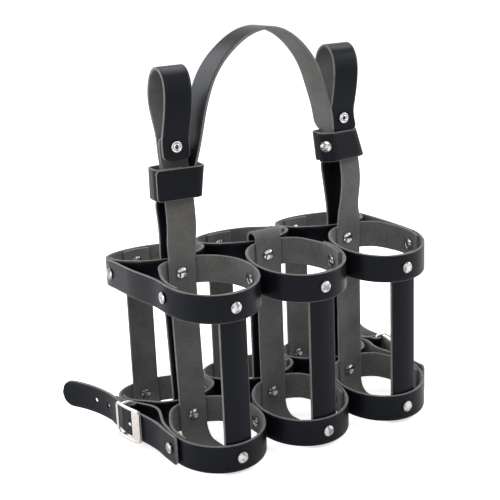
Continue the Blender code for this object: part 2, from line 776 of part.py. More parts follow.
def buckle_strap(side):
    """The short strap folded round the buckle's bar, slotted for the tongue."""
    sign = SIDES[side]
    end = ROW_Y + BUCKLE_TAIL
    plan = [(END_OUT + LAYER, y) for y in spread(end, BAR_Y, STRAP_WIDTH / 2)]
    for angle in spread(-pi, 0, radians(30))[1:-1]:
        plan.append((BAR_OUT + FOLD_RADIUS * cos(angle), BAR_Y + FOLD_RADIUS * sin(angle)))
    for y in spread(BAR_Y, ROW_Y, STRAP_WIDTH / 4):
        share = ease((y - BAR_Y) / (ROW_Y - BAR_Y - CAP_RADIUS))
        plan.append((mix(BAR_OUT + FOLD_RADIUS, END_OUT + 2 * LAYER, share), y))
    plan.append((END_OUT + 2 * LAYER, end))
    stations = []
    for out, y in plan:
        share = ease((y - BAR_Y) / (ROW_Y - BAR_Y))
        z = BAND_HEIGHTS["bottom"] + mix(lift(BAR_Y), lift(ROW_Y), share)
        stations.append((Vector((sign * out, y, z)), Vector((0, 0, 1))))
    obj = strap(f"buckle_strap_{side}", stations, STRAP_WIDTH)
    place = Vector((sign * (END_OUT + 1.5 * LAYER), ROW_Y, BAND_HEIGHTS["bottom"] + lift(ROW_Y)))
    punch(obj, [(place, Vector((1, 0, 0)), 4 * LEATHER)])
    reach = FOLD_RADIUS + LEATHER
    bm = bmesh.new()
    bmesh.ops.create_cube(bm, size=1)
    size = Vector((2 * reach, 2 * reach, 2 * (TONGUE_RADIUS + 2 * GAP)))
    for vert in bm.verts:
        vert.co = vert.co * size + Vector((sign * BAR_OUT, BAR_Y, buckle_height(BAR_Y)))
    slot = add_object(f"buckle_strap_{side}_slot", mesh_from(bm, "slot"), GRAIN, CUTTERS)
    hide(slot)
    boolean(obj, slot, "DIFFERENCE")


def frame_out(y):
    """How far out the bowed frame's middle surface lies."""
    crest = BAR_Y + FRAME_CREST
    return BAR_OUT + FRAME_RISE - (y - crest) ** 2 / (2 * FRAME_CURVE)


def buckle_frame(side):
    """The bowed frame: a wide notched plate in front, thin rails and edge, and a set-in bar."""
    sign = SIDES[side]
    z0 = buckle_height(BAR_Y)
    edge = 2 * FRAME_WIRE
    inner = FRAME_Y - FRAME_LENGTH + PLATE_LENGTH
    notch = TONGUE_RADIUS + 2 * GAP
    columns = [FRAME_Y - FRAME_LENGTH, inner - NOTCH_DEPTH, inner]
    columns += spread(inner, FRAME_Y - edge, FRAME_LENGTH / 6)[1:] + [FRAME_Y]
    half = FRAME_HEIGHT / 2
    rows = [-half, edge - half, -notch, notch, half - edge, half]
    bm = bmesh.new()
    grid = [[bm.verts.new((sign * frame_out(y), y, z0 + z)) for z in rows] for y in columns]
    for i in range(len(columns) - 1):
        for k in range(len(rows) - 1):
            window = 2 <= i < len(columns) - 2 and 1 <= k <= 3
            if not window and not (i == 1 and k == 2):
                bm.faces.new((grid[i][k], grid[i + 1][k], grid[i + 1][k + 1], grid[i][k + 1]))
    obj = add_object(f"buckle_frame_{side}", mesh_from(bm, "frame"), NICKEL)
    wall = obj.modifiers.new("metal", "SOLIDIFY")
    wall.thickness = edge
    wall.offset = 0
    wall.use_even_offset = True
    rail = half - FRAME_WIRE
    corner = 2 * BAR_RADIUS
    top, low = frame_out(BAR_Y), BAR_OUT
    plan = [(top, rail), (low + corner, rail), (low + corner * 0.3, rail - corner * 0.3),
            (low, rail - corner)]
    plan += [(out, -z) for out, z in reversed(plan)]
    bar = wire(f"buckle_frame_{side}_bar", [(sign * out, BAR_Y, z0 + z) for out, z in plan], BAR_RADIUS,
               collection=CUTTERS)
    hide(bar)
    boolean(obj, bar, "UNION")
    move_origin(obj, (sign * BAR_OUT, BAR_Y, z0))
    tongue(side)


# The tongue's line from the bar's middle as shares of its length: outward, and toward the plate
TONGUE_SHARES = [(0.154, 0.108), (0.177, 0.331), (0.231, 0.477), (0.431, 0.646), (0.546, 0.815),
                 (0.562, 1.0)]


def tongue(side):
    """A wire eye round the bar, and its prong up through the billet into the plate's notch."""
    sign = SIDES[side]
    z = buckle_height(BAR_Y)
    eye = BAR_RADIUS + GAP + TONGUE_RADIUS
    turns = spread(0, 2 * pi, radians(30))[:-1]
    ring = [(sign * (BAR_OUT + eye * cos(turn)), BAR_Y + eye * sin(turn), z) for turn in turns]
    obj = wire(f"tongue_{side}", ring, TONGUE_RADIUS, closed=True)
    line = [(sign * (BAR_OUT + TONGUE_LENGTH * out), BAR_Y - TONGUE_LENGTH * toward, z)
            for out, toward in TONGUE_SHARES]
    prong = wire(f"tongue_{side}_prong", line, TONGUE_RADIUS, collection=CUTTERS)
    hide(prong)
    boolean(obj, prong, "UNION")
    move_origin(obj, (sign * BAR_OUT, BAR_Y, z))


def centre_on_bounds():
    """Moves everything along Y so that the carrier's box is centred on the Z axis."""
    bpy.context.view_layer.update()
    depsgraph = bpy.context.evaluated_depsgraph_get()
    spans = []
    for obj in CARRIER.objects:
        drawn = obj.evaluated_get(depsgraph)
        spans += [(drawn.matrix_world @ Vector(corner)).y for corner in drawn.bound_box]
    shift = -(min(spans) + max(spans)) / 2
    for obj in bpy.data.objects:
        if obj.parent is None:
            obj.location.y += shift


for side in SIDES:
    front_leg_strap(side)
    rear_leg_strap(side)
    keeper(side)
    snap_loop(side)
    billet(side)
    buckle_strap(side)
    buckle_frame(side)
    for level in BAND_HEIGHTS:
        end_band(side, level)
for row in ("front", "back"):
    for level in BAND_HEIGHTS:
        middle_band(row, level)
saddle_strap()
handle()
ring_rivets()
centre_on_bounds()
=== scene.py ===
"""Looks of a leather carrier for six bottles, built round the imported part.

Each strap is a cut strip of leather with a black grain face, a grey flesh face and raw edges,
carried along its route by one function. Rivets, snaps and buckles are turned and bent metal.
"""

import bpy
import numpy as np
from mathutils import Matrix, Vector


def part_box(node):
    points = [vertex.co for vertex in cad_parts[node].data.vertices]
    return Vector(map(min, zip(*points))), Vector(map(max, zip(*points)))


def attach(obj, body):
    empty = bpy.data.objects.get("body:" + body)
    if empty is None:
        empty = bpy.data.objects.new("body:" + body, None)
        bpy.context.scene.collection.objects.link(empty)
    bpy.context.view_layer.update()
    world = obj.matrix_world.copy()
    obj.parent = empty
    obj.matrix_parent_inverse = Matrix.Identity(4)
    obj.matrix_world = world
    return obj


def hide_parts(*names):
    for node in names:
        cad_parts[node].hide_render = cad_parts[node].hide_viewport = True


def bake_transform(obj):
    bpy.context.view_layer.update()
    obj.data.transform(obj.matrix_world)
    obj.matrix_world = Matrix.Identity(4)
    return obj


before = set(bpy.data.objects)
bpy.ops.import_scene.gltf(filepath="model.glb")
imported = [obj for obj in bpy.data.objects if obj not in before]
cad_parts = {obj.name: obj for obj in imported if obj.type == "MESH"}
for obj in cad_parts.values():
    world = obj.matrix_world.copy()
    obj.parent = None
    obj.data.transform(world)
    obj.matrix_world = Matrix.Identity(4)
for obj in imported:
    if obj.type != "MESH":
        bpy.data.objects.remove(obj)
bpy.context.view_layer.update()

# Strap stock
LEATHER = 0.0024
GAP = 0.0003
LAYER = LEATHER + GAP
BAND_WIDTH = 0.020
STRAP_WIDTH = 0.021

# A drawn strip's thickness, rounded corners and tips, and the spacing of its rows
CUT = 0.0020
CORNER = 0.0004
NIP = CORNER * 0.3
TIP_DEPTH = 0.98
STEP = 0.0012

# Points along curves and across a strip's face
FACE_POINTS = 11
BEND_POINTS = 16
CORNER_POINTS = 10
FOLD_POINTS = 24
END_POINTS = 60
FINE_TURN = np.radians(1.5)
SHARP = np.radians(50)

# The cage, as in the solids
MIDDLE_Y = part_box("saddle_strap")[0][1] / 2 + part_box("saddle_strap")[1][1] / 2
BOTTLE_ROOM = 0.0612
LEG_RADIUS = (BOTTLE_ROOM + LEATHER) / 2
BAND_RADIUS = LEG_RADIUS + LAYER
RING_OUTER = BAND_RADIUS + LEATHER / 2
PITCH = 2 * RING_OUTER + GAP
ROW_GAP = 0.0012
ROW_Y = RING_OUTER + ROW_GAP / 2
FLOOR_DROP = 0.0023
FLOOR_BEND = 0.012
LEVEL_SPACING = 0.108
DROOP = np.radians(8)
DROOP_EASE = 0.010
LAP = 0.012
LAP_TURN = np.radians(30)
BAND_DENTS = {"bottom": 0.007, "top": 0.0}
END_SAGS = {"bottom": 0.0, "top": 0.85}
BAND_HEIGHTS = {"bottom": FLOOR_DROP + BAND_WIDTH / 2}
BAND_HEIGHTS["top"] = BAND_HEIGHTS["bottom"] + LEVEL_SPACING
SIDES = {"left": -1, "right": 1}
ROWS = {"front": -1, "back": 1}

# Risers, handle, keepers and loops
RISER_EASE = 0.015
REAR_RISER_EASE = 0.028
RISER_TAIL = 0.007
RISER_TIP = 0.004
HANDLE_LEAD = 0.004
SET_BACK = 0.0065
SET_BACK_DROP = 0.024
SET_BACK_RUN = 0.034
FRONT_LEANS = {"left": 0.0, "right": 0.0035}
HINGE_RISE = 0.0035
LEAN_SHARES = {"left": (0.0, -0.20, 0.20, 0.40), "right": (0.0, 0.34, 0.56, 0.60)}
KEEPER_WIDTH = 0.022
KEEPER_LAP = 0.014
KEEPER_STEP = (0.001, 0.008)
KEEPER_PROUD = 0.0052
KEEPER_TIP = 0.002
KEEPER_RIVET_RISE = 0.0010
KEEPER_HEIGHTS = {"left": 0.0425, "right": 0.0510}
KEEPER_PLAY = 0.0018
LOOP_DEPTH = 0.0215
LOOP_RISE = 0.0528
LOOP_RIVET_RISE = 0.0165
LOOP_TAIL = 0.006
FLAP_END = 0.0095
FLAP_TIP = 0.0045
FLAP_PLAY = 0.0019
SNAP_RISES = {"left": 0.0145, "right": 0.0090}
FRONT_RISER_Y = LEG_RADIUS - ROW_Y
STUD_Y = FRONT_RISER_Y + SET_BACK
LOOP_BACK_Y = STUD_Y + LAYER
FLAP_Y = STUD_Y - LAYER - FLAP_PLAY
HINGE_HEIGHT = max(KEEPER_HEIGHTS.values()) + KEEPER_WIDTH + HINGE_RISE

# Metal
CAP_RADIUS = 0.0042
CAP_HEIGHT = 0.0016
DOME_SHARE = 0.93
DOME_FALL = 0.55
DOME_POWER = 2.4
RIM_SHARE = 0.24
POST_RADIUS = 0.0015
FRONT_RIVET_LEAD = 0.0018
REAR_RISER_Y = LOOP_BACK_Y + LAYER + CAP_HEIGHT + GAP
CAP_SEAT = CAP_RADIUS * CAP_RADIUS / (2 * LEG_RADIUS - LEATHER)
SNAP_RADIUS = 0.0041

# Buckled end straps
BILLET_LEAD = 0.0100
BILLET_START = 0.0125
BILLET_FALL = 0.0006
BILLET_TIPS = (0.002, 0.0095)
BUCKLE_SETBACK = 0.0200
BUCKLE_TAIL = 0.0080
BAR_RADIUS = 0.0012
BAR_BEND = 0.002
BAR_TO_EDGE = 0.0160
FRAME_LENGTH = 0.0375
FRAME_HEIGHT = 0.0262
FRAME_SHORT = 0.0090
BUCKLE_LIFT = 0.0016
FRAME_WIRE = 0.0012
FRAME_SQUASH = 0.9
FRAME_CORNER = 0.0030
FRAME_RISE = 0.0088
FRAME_CREST = 0.0040
FRAME_CURVE = 0.0720
PLATE_LENGTH = 0.0074
PLATE_OVERLAP = FRAME_WIRE * 0.4
PLATE_EDGE = FRAME_WIRE * 0.55
TONGUE_RADIUS = 0.0009
TONGUE_LENGTH = 0.0130
TONGUE_HOLE = TONGUE_LENGTH * 0.59
TONGUE_SLANT = -0.92
TAIL_LENGTH = 0.0510
TAIL_SWEEP = 0.0205
TAIL_RISE = 0.0026
HOLES = 3
HOLE_START = -0.0025
HOLE_PITCH = 0.0135
HOLE_RADIUS = 0.0020
END_OUT = PITCH + BAND_RADIUS
FOLD_RADIUS = BAR_RADIUS + GAP + LEATHER / 2
BAR_OUT = END_OUT + LAYER + FOLD_RADIUS
BAR_Y = ROW_Y - BUCKLE_SETBACK
BILLET_OUT = BAR_OUT + FOLD_RADIUS + LAYER
FRAME_Y = BAR_Y + BAR_TO_EDGE
TAIL_Y = FRAME_Y + GAP


# Shapes of the routes


def ease(share):
    """Smooth step: 3 s squared less 2 s cubed, with s held between 0 and 1."""
    share = np.clip(share, 0, 1)
    return share * share * (3 - 2 * share)


def mix(low, high, share):
    return low + (high - low) * share


def lift(y):
    """Height by which the rings rise toward the middle line: a slope times a rounded distance."""
    return np.tan(DROOP) * (np.hypot(ROW_Y + RING_OUTER, DROOP_EASE) - np.hypot(y, DROOP_EASE))


CAGE_TOP = BAND_HEIGHTS["top"] + BAND_WIDTH / 2 + lift(0)
LEG_SHORT = 0.001
LEG_TOP = BAND_HEIGHTS["top"] + BAND_WIDTH / 2 - LEG_SHORT
LEG_BEND = LEATHER / 2 + FLOOR_BEND


def spread(low, high, step=STEP):
    """Evenly spaced values from low to high, about a step apart."""
    return np.linspace(low, high, max(2, int(np.ceil(abs(high - low) / step)) + 1))


def columns(*parts):
    """Arrays and numbers side by side as the columns of one table."""
    return np.stack(np.broadcast_arrays(*parts), axis=1).astype(float)


def arc(x, y, radius, angle):
    """Places round a centre, at an angle and a radius."""
    return columns(x + radius * np.cos(angle), y + radius * np.sin(angle))


def unit(vectors):
    """Vectors scaled to a length of 1."""
    return vectors / np.linalg.norm(vectors, axis=-1, keepdims=True)


def distances(points):
    """How far each point lies along the line through them all."""
    return np.append(0, np.cumsum(np.linalg.norm(np.diff(points, axis=0), axis=1)))


def even(table, step=STEP):
    """The table's rows set out again at even steps along its first three columns."""
    run = distances(table[:, :3])
    places = spread(0, run[-1], step)
    return np.stack([np.interp(places, run, column) for column in table.T], axis=1)


def softened(table, reach):
    """Each row replaced by the mean of its neighbours within reach rows, with the ends held."""
    padded = np.pad(table, ((reach, reach), (0, 0)), mode="reflect", reflect_type="odd")
    sums = np.cumsum(np.vstack([np.zeros(table.shape[1]), padded]), axis=0)
    return (sums[2 * reach + 1:] - sums[:-2 * reach - 1]) / (2 * reach + 1)


def through(points, count=24):
    """A Catmull-Rom curve through the points: each span is the cubic of its four neighbours."""
    p = np.array(points, float)
    p = np.vstack([2 * p[0] - p[1], p, 2 * p[-1] - p[-2]])
    t = np.linspace(0, 1, count, endpoint=False)[None, :, None]
    a, b, c, d = p[:-3, None], p[1:-2, None], p[2:-1, None], p[3:, None]
    bend, twist = 2 * a - 5 * b + 4 * c - d, 3 * b - a - 3 * c + d
    line = (2 * b + (c - a) * t + bend * t ** 2 + twist * t ** 3) / 2
    return np.vstack([line.reshape(-1, p.shape[1]), p[-2]])


# Leather strips


def linked(name, data):
    """An object of a mesh, lamp or camera, put in the scene."""
    obj = bpy.data.objects.new(name, data)
    bpy.context.scene.collection.objects.link(obj)
    return obj


def surface(name, verts, faces, uv, zones, materials):
    """A mesh from points, faces, a UV per point and a material number per face."""
    mesh = bpy.data.meshes.new(name)
    mesh.from_pydata(verts.tolist(), [], faces)
    layer = mesh.uv_layers.new(name="UVMap")
    corners = np.empty(len(mesh.loops), np.int32)
    mesh.loops.foreach_get("vertex_index", corners)
    layer.data.foreach_set("uv", np.asarray(uv, np.float32)[corners].ravel())
    mesh.polygons.foreach_set("material_index", np.asarray(zones, np.int32))
    mesh.polygons.foreach_set("use_smooth", np.ones(len(mesh.polygons), bool))
    mesh.set_sharp_from_angle(angle=SHARP)
    for material in materials:
        mesh.materials.append(material)
    return linked(name, mesh)


def skin(rows, cols, closed=False):
    """Faces between rings of points, with an end face on the first and last unless closed."""
    i, j = np.meshgrid(np.arange(rows if closed else rows - 1), np.arange(cols), indexing="ij")
    here, there, beside = i * cols, (i + 1) % rows * cols, (j + 1) % cols
    corners = [here + beside, there + beside, there + j, here + j]
    faces = np.stack(corners, axis=-1).reshape(-1, 4).tolist()
    if not closed:
        faces += [list(range(cols)), list(range((rows - 1) * cols, rows * cols))[::-1]]
    return faces


def strip(name, route, width, grain=1, tips=(0, 0), flesh="along"):
    """A cut strip of leather along a route, with its grain on the other face where grain is -1.

    A route's rows hold the centre, the unit direction across and the cup. A point is the centre
    plus its share of the half width across, plus its height along the normal, less the cup times
    the share squared. tips gives the radii that round the strip's two ends.
    """
    route = even(np.asarray(route, float))
    centre, across, cup = route[:, :3], unit(route[:, 3:6]), route[:, 6]
    tangent = unit(np.gradient(centre, axis=0))
    normal = unit(np.cross(tangent, across) * grain)
    run = distances(centre)
    half = np.full(len(run), width / 2)
    for tip, distance in zip(tips, (run, run[-1] - run)):
        if tip:
            short = np.clip(1 - distance / tip, 0, 1)
            half = np.minimum(half, width / 2 - tip * (1 - np.sqrt(1 - short ** 2)) * TIP_DEPTH)
    shares = np.linspace(-1, 1, FACE_POINTS)
    face_in, thick = CORNER * abs(shares), CUT / 2
    edge_in = np.array([NIP, 0, 0, NIP])
    edge_up = np.array([thick - NIP, thick - CORNER, CORNER - thick, NIP - thick])
    edge, face = np.ones(len(edge_in)), np.full(FACE_POINTS, thick)
    share = np.concatenate([shares, edge, -shares, -edge])
    inset = np.concatenate([face_in, edge_in, face_in, edge_in])
    height = np.concatenate([face, edge_up, -face, -edge_up])
    side = half[:, None] * share - np.sign(share) * inset
    depth = height - cup[:, None] * share ** 2
    points = (centre[:, None] + across[:, None] * side[..., None]
              + normal[:, None] * depth[..., None])
    count, ring = len(route), len(share)
    faces = skin(count, ring)
    if grain < 0:
        faces = [corners[::-1] for corners in faces]
    zone = np.full(ring, 2)
    zone[:FACE_POINTS - 1] = 0
    zone[FACE_POINTS + len(edge):2 * FACE_POINTS + len(edge) - 1] = 1
    zones = np.append(np.tile(zone, count - 1), [2, 2])
    uv = np.stack([np.repeat(run, ring), np.tile(share, count)], axis=1)
    materials = [GRAIN, FLESH_ALONG if flesh == "along" else FLESH_ACROSS, RAW_EDGE]
    obj = surface(name, points.reshape(-1, 3), faces, uv, zones, materials)
    return obj


# The worn cage's lean at places from left to right, and where from the front it starts, over what
# run it grows and its share on each level
SKEW = ((-0.108, -0.036, 0.036, 0.108), (-0.0044, -0.0024, -0.0008, 0.0))
SKEW_RUNS = {"top": (-0.030, 0.040, 1.0), "bottom": (BAR_Y + 0.003, 0.020, 0.45)}


def skew(level, x, y):
    """How far the worn cage leans sideways: more at its left end, and growing front to back."""
    start, run, share = SKEW_RUNS[level]
    return share * np.interp(x, *SKEW) * ease((y - start) / run)


def placed(route, level=None):
    """The route moved from the rows' middle line to its place, with its level's skew."""
    route = np.array(route, float)
    if level:
        route[:, 0] += skew(level, route[:, 0], route[:, 1])
    route[:, 1] += MIDDLE_Y
    return route


# Shader maths


# Places of a Mix node's two colours and of its mixed colour among its sockets
MIX_COLOURS, MIX_RESULT = (6, 7), 2


class Wire:
    """A socket on which sums, differences and products add Math nodes."""

    def __init__(self, tree, socket):
        self.tree, self.socket = tree, socket

    def math(self, operation, *others):
        return self.tree.add("ShaderNodeMath", {"operation": operation}, self, *others)

    def __add__(self, other):
        return self.math("ADD", other)

    def __sub__(self, other):
        return self.math("SUBTRACT", other)

    def __rsub__(self, other):
        return self.tree.add("ShaderNodeMath", {"operation": "SUBTRACT"}, other, self)

    def __mul__(self, other):
        return self.math("MULTIPLY", other)

    def between(self, low, high):
        """0 below low, 1 above high and a smooth step between."""
        smooth = {"interpolation_type": "SMOOTHSTEP"}
        return self.tree.add("ShaderNodeMapRange", smooth, self, low, high)


class Tree:
    """A material's or world's nodes."""

    def __init__(self, block):
        block.use_nodes = True
        self.nodes, self.links = block.node_tree.nodes, block.node_tree.links

    def add(self, kind, settings=(), *values, out=0, **named):
        """Adds a node with its settings, and gives sockets values or links by place or name."""
        node = self.nodes.new(kind)
        for key, value in dict(settings).items():
            setattr(node, key, value)
        for key, value in [*enumerate(values), *named.items()]:
            self.feed(node.inputs[key], value)
        return Wire(self, node.outputs[out])

    def feed(self, socket, value):
        if isinstance(value, Wire):
            self.links.new(value.socket, socket)
        else:
            socket.default_value = value

    def blend(self, low, high, share):
        """A colour between two, by a share."""
        wire = self.add("ShaderNodeMix", {"data_type": "RGBA"}, share, out=MIX_RESULT)
        for place, colour in zip(MIX_COLOURS, (low, high)):
            value = colour if isinstance(colour, Wire) else (*colour, 1)
            self.feed(wire.socket.node.inputs[place], value)
        return wire

    def place(self, kind="Object"):
        """The object's own coordinates, or its UV."""
        return self.add("ShaderNodeTexCoord", out=kind)

    def noise(self, vector, scale, detail=3.0, roughness=0.5):
        """Noise between about 0 and 1."""
        return self.add("ShaderNodeTexNoise", Vector=vector, Scale=scale, Detail=detail,
                        Roughness=roughness)

    def stretched(self, vector, scale):
        """The coordinates times a size for each axis."""
        return self.add("ShaderNodeMapping", Vector=vector, Scale=scale)

    def bump(self, height, distance, strength):
        return self.add("ShaderNodeBump", Height=height, Distance=distance, Strength=strength)


def material(name, base, roughness, metallic=0.0, **fixed):
    """A Principled material with its tree and shader, with fixed values on its other sockets."""
    made = bpy.data.materials.new(name)
    tree = Tree(made)
    shader = tree.nodes["Principled BSDF"]
    shader.inputs["Base Color"].default_value = (*base, 1)
    shader.inputs["Roughness"].default_value = roughness
    shader.inputs["Metallic"].default_value = metallic
    for key, value in fixed.items():
        shader.inputs[key.replace("_", " ")].default_value = value
    return made, tree, shader.inputs


def grain_leather():
    """Black satin grain: fine pores, slow changes of gloss, and a crease line and a painted
    highlight beside each edge.
    """
    made, tree, shader = material("black_grain", (0.004, 0.0043, 0.006), 0.40,
                                  Specular_IOR_Level=0.15, Specular_Tint=(0.86, 0.90, 1.0, 1.0))
    place = tree.place()
    rim = 1 - tree.add("ShaderNodeSeparateXYZ", {}, tree.place("UV"), out="Y").math("ABSOLUTE")
    cloud = tree.noise(place, 38.0)
    # This mask and the pale colour blended in below make a painted highlight along each edge of
    # the grain face.
    wear_and_highlight = 1 - rim.between(0.0, 0.035)
    colour = tree.blend((0.0026, 0.0028, 0.0042), (0.0052, 0.0055, 0.0076), cloud)
    tree.feed(shader["Base Color"], tree.blend(colour, (0.05, 0.05, 0.052), wear_and_highlight * 0.5))
    smear = tree.noise(tree.stretched(place, (60.0, 60.0, 25.0)), 1.0, detail=4.0)
    tree.feed(shader["Roughness"], smear * 0.16 + 0.24)
    pores = tree.noise(place, 2300.0, detail=2.0, roughness=0.6)
    wrinkle = tree.noise(place, 420.0, roughness=0.55)
    crease = (rim - 0.12).math("ABSOLUTE").between(0.0, 0.03)
    height = pores * 0.35 + wrinkle * 0.4 + crease * 1.2
    tree.feed(shader["Normal"], tree.bump(height, 0.00012, 0.55))
    return made


def flesh_leather(name, stretch):
    """Grey-brown flesh side: short fibres drawn out one way, with paler and darker cloud."""
    made, tree, shader = material(name, (0.12, 0.114, 0.106), 0.85, Specular_IOR_Level=0.25,
                                  Sheen_Weight=0.12, Sheen_Roughness=0.5)
    place = tree.place()
    cloud = tree.noise(place, 45.0, detail=4.0, roughness=0.55)
    fibre = tree.noise(tree.stretched(tree.place("UV"), stretch), 1.0, detail=4.0, roughness=0.6)
    nap = tree.noise(place, 1500.0, roughness=0.6)
    share = (cloud - 0.5) * 1.4 + (fibre - 0.5) * 1.1 + (nap - 0.5) * 1.2 + 0.5
    colour = tree.blend((0.055, 0.053, 0.051), (0.132, 0.129, 0.125), share)
    tree.feed(shader["Base Color"], colour)
    tree.feed(shader["Roughness"], cloud * 0.12 + 0.78)
    tree.feed(shader["Normal"], tree.bump(fibre * 0.5 + nap, 0.00022, 0.6))
    return made


def raw_edge():
    """Pale grey cut edge with short fibres and slow cloud."""
    made, tree, shader = material("raw_edge", (0.25, 0.245, 0.24), 0.8, Specular_IOR_Level=0.3)
    place = tree.place()
    fibre = tree.noise(place, 900.0, detail=4.0, roughness=0.65)
    cloud = tree.noise(place, 60.0, detail=2.0)
    share = (fibre - 0.5) * 1.6 + (cloud - 0.5) * 0.8 + 0.5
    colour = tree.blend((0.060, 0.058, 0.057), (0.20, 0.196, 0.192), share)
    tree.feed(shader["Base Color"], colour)
    tree.feed(shader["Normal"], tree.bump(fibre, 0.00015, 0.5))
    return made


def nickel(name, base, roughness, marks, stain):
    """Plated metal with dull patches, faint handling marks in its gloss, and a painted dark
    reflection and shade at a turned rim.

    The first part of a turned piece's UV is its radius as a share of the widest.
    """
    made, tree, shader = material(name, base, roughness, 1.0)
    place = tree.place()
    radius = tree.add("ShaderNodeSeparateXYZ", {}, tree.place("UV"))
    patch = tree.noise(place, 330.0, detail=2.0, roughness=0.4)
    scratch = tree.noise(tree.stretched(place, (2600.0, 900.0, 500.0)), 1.0, roughness=0.6)
    tree.feed(shader["Roughness"], patch * marks + scratch * marks + (roughness - marks))
    # The darker rim colour is painted dark reflection and shade where a turned piece meets the
    # leather.
    stained, painted_rim_shade = (tuple(part * value for value in base) for part in (stain, 0.22))
    dull = tree.blend(stained, base, patch.between(0.40, 0.54))
    tree.feed(shader["Base Color"], tree.blend(dull, painted_rim_shade, radius.between(0.84, 0.97)))
    return made


def socket_nickel():
    """A snap's socket: bright ridges round the hole, with painted shade in the hole, in the groove
    between the ridges and at the outer rim.
    """
    made, tree, shader = material("socket_nickel", (0.62, 0.60, 0.59), 0.24, 1.0)
    radius = tree.add("ShaderNodeSeparateXYZ", {}, tree.place("UV"))
    patch = tree.noise(tree.place(), 700.0, detail=2.0)
    # Painted shade: the hole, the groove between the ridges and the outer rim are darkened in
    # colour.
    hole = radius.between(0.27, 0.36)
    groove_shade = (radius - 0.63).math("ABSOLUTE").between(0.02, 0.08)
    rim = 1 - radius.between(0.90, 0.99)
    wear_and_highlight = patch.between(0.3, 0.5) * 0.35 + 0.65
    share = hole * (groove_shade * 0.6 + 0.4) * (rim * 0.6 + 0.4) * wear_and_highlight
    tree.feed(shader["Base Color"], tree.blend((0.012, 0.012, 0.013), (0.68, 0.66, 0.65), share))
    tree.feed(shader["Roughness"], patch * 0.12 + 0.2)
    return made


GRAIN = grain_leather()
FLESH_ALONG = flesh_leather("flesh_along", (420.0, 26.0, 1.0))
FLESH_ACROSS = flesh_leather("flesh_across", (900.0, 3.0, 1.0))
RAW_EDGE = raw_edge()
BRIGHT = nickel("bright_nickel", (0.72, 0.70, 0.69), 0.13, 0.05, 0.40)
SATIN = nickel("satin_nickel", (0.70, 0.655, 0.625), 0.34, 0.06, 0.92)
SOCKET = socket_nickel()


# The cage


def lapped_radius(past_end):
    """Radius along a ring's inner end: under the other layer first, then out to the ring's own."""
    under = LAP / BAND_RADIUS + LAP_TURN
    return BAND_RADIUS - LAYER * (1 - ease((past_end - under) / LAP_TURN))


def end_strap(side, level):
    """A front ring, the cage's end and the back ring: two spirals joined by a straight.

    The straight is dented by a sine to the power 4, and sags by a share of the rings' rise.
    """
    sign, lap = SIDES[side], LAP / BAND_RADIUS
    turn = spread(-lap, 2 * np.pi, FINE_TURN)
    front = arc(PITCH, -ROW_Y, lapped_radius(turn + lap), turn)
    share = np.linspace(0, 1, END_POINTS)[1:-1]
    bow = BAND_DENTS[level] * np.sin(np.pi * share) ** 4
    end = columns(PITCH + BAND_RADIUS - bow, mix(-ROW_Y, ROW_Y, share))
    turn = spread(0, 2 * np.pi + lap, FINE_TURN)
    back = arc(PITCH, ROW_Y, lapped_radius(2 * np.pi + lap - turn), turn)
    plan = np.vstack([front, end, back])
    flat = END_SAGS[level] * (lift(end[:, 1]) - lift(ROW_Y))
    sag = np.concatenate([0 * front[:, 0], flat, 0 * back[:, 0]])
    rise = softened((lift(plan[:, 1]) - sag)[:, None], reach=9)[:, 0]
    plan = softened(plan, reach=3)
    route = columns(sign * plan[:, 0], plan[:, 1], BAND_HEIGHTS[level] + rise, 0, 0, 1, 0)
    piece = strip(f"end_strap_{side}_{level}", placed(route, level), BAND_WIDTH, grain=sign,
                  flesh="across")
    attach(piece, "cage")
    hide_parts(f"end_band_{side}_{level}")


def middle_ring(row, level):
    """A closed ring whose ends lap on its right side."""
    lap = LAP / BAND_RADIUS
    turn = spread(-lap, 2 * np.pi + lap, FINE_TURN)
    plan = arc(0, ROWS[row] * ROW_Y, lapped_radius(turn + lap), turn)
    route = columns(*plan.T, BAND_HEIGHTS[level] + lift(plan[:, 1]), 0, 0, 1, 0)
    piece = strip(f"middle_ring_{row}_{level}", placed(route, level), BAND_WIDTH, flesh="across")
    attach(piece, "cage")
    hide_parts(f"middle_band_{row}_{level}")


LEG_CUP = LEG_RADIUS * (1 - np.cos(STRAP_WIDTH / 2 / LEG_RADIUS))
# Sideways shifts of each row's near and far uprights
LEG_SHIFTS = {"front": (0.0, -0.0042), "back": (-0.0036, -0.0042)}
FRONT_LEG_LEANS = {"left": 0.0030, "right": 0.0}
BACK_LEG_LEANS = {"left": 0.0040, "right": 0.0}


def leg_u(row):
    """A U under a bottle as (x, y, z, cup): down its front, along the floor and up its back."""
    yc, low = ROWS[row] * ROW_Y, LEATHER / 2
    z = spread(LEG_TOP + lift(yc - LEG_RADIUS), LEG_BEND)
    front = columns(0, yc - LEG_RADIUS, z, LEG_CUP)
    angle = np.linspace(0, np.pi / 2, BEND_POINTS)[1:]
    bend = columns(0, yc - LEG_RADIUS + FLOOR_BEND * (1 - np.cos(angle)),
                   low + FLOOR_BEND * (1 - np.sin(angle)), LEG_CUP * (1 - ease(2 * angle / np.pi)))
    floor = columns(0, spread(bend[-1, 1], yc), low, 0)[1:]
    half = np.vstack([front, bend, floor])
    back = half[::-1][1:].copy()
    back[:, 1] = 2 * yc - back[:, 1]
    z = spread(LEG_BEND, LEG_TOP + lift(yc + LEG_RADIUS))
    upright = columns(0, yc + LEG_RADIUS, z, LEG_CUP)
    line = np.vstack([half, back[back[:, 2] < LEG_BEND - GAP], upright])
    along = (line[:, 1] - yc) / (2 * LEG_RADIUS - 2 * FLOOR_BEND) + 0.5
    line[:, 0] = mix(*LEG_SHIFTS[row], ease(along))
    return line


def riser_cup(z):
    return LEG_CUP * (1 - ease((z - LEG_TOP - lift(0)) / RISER_EASE))


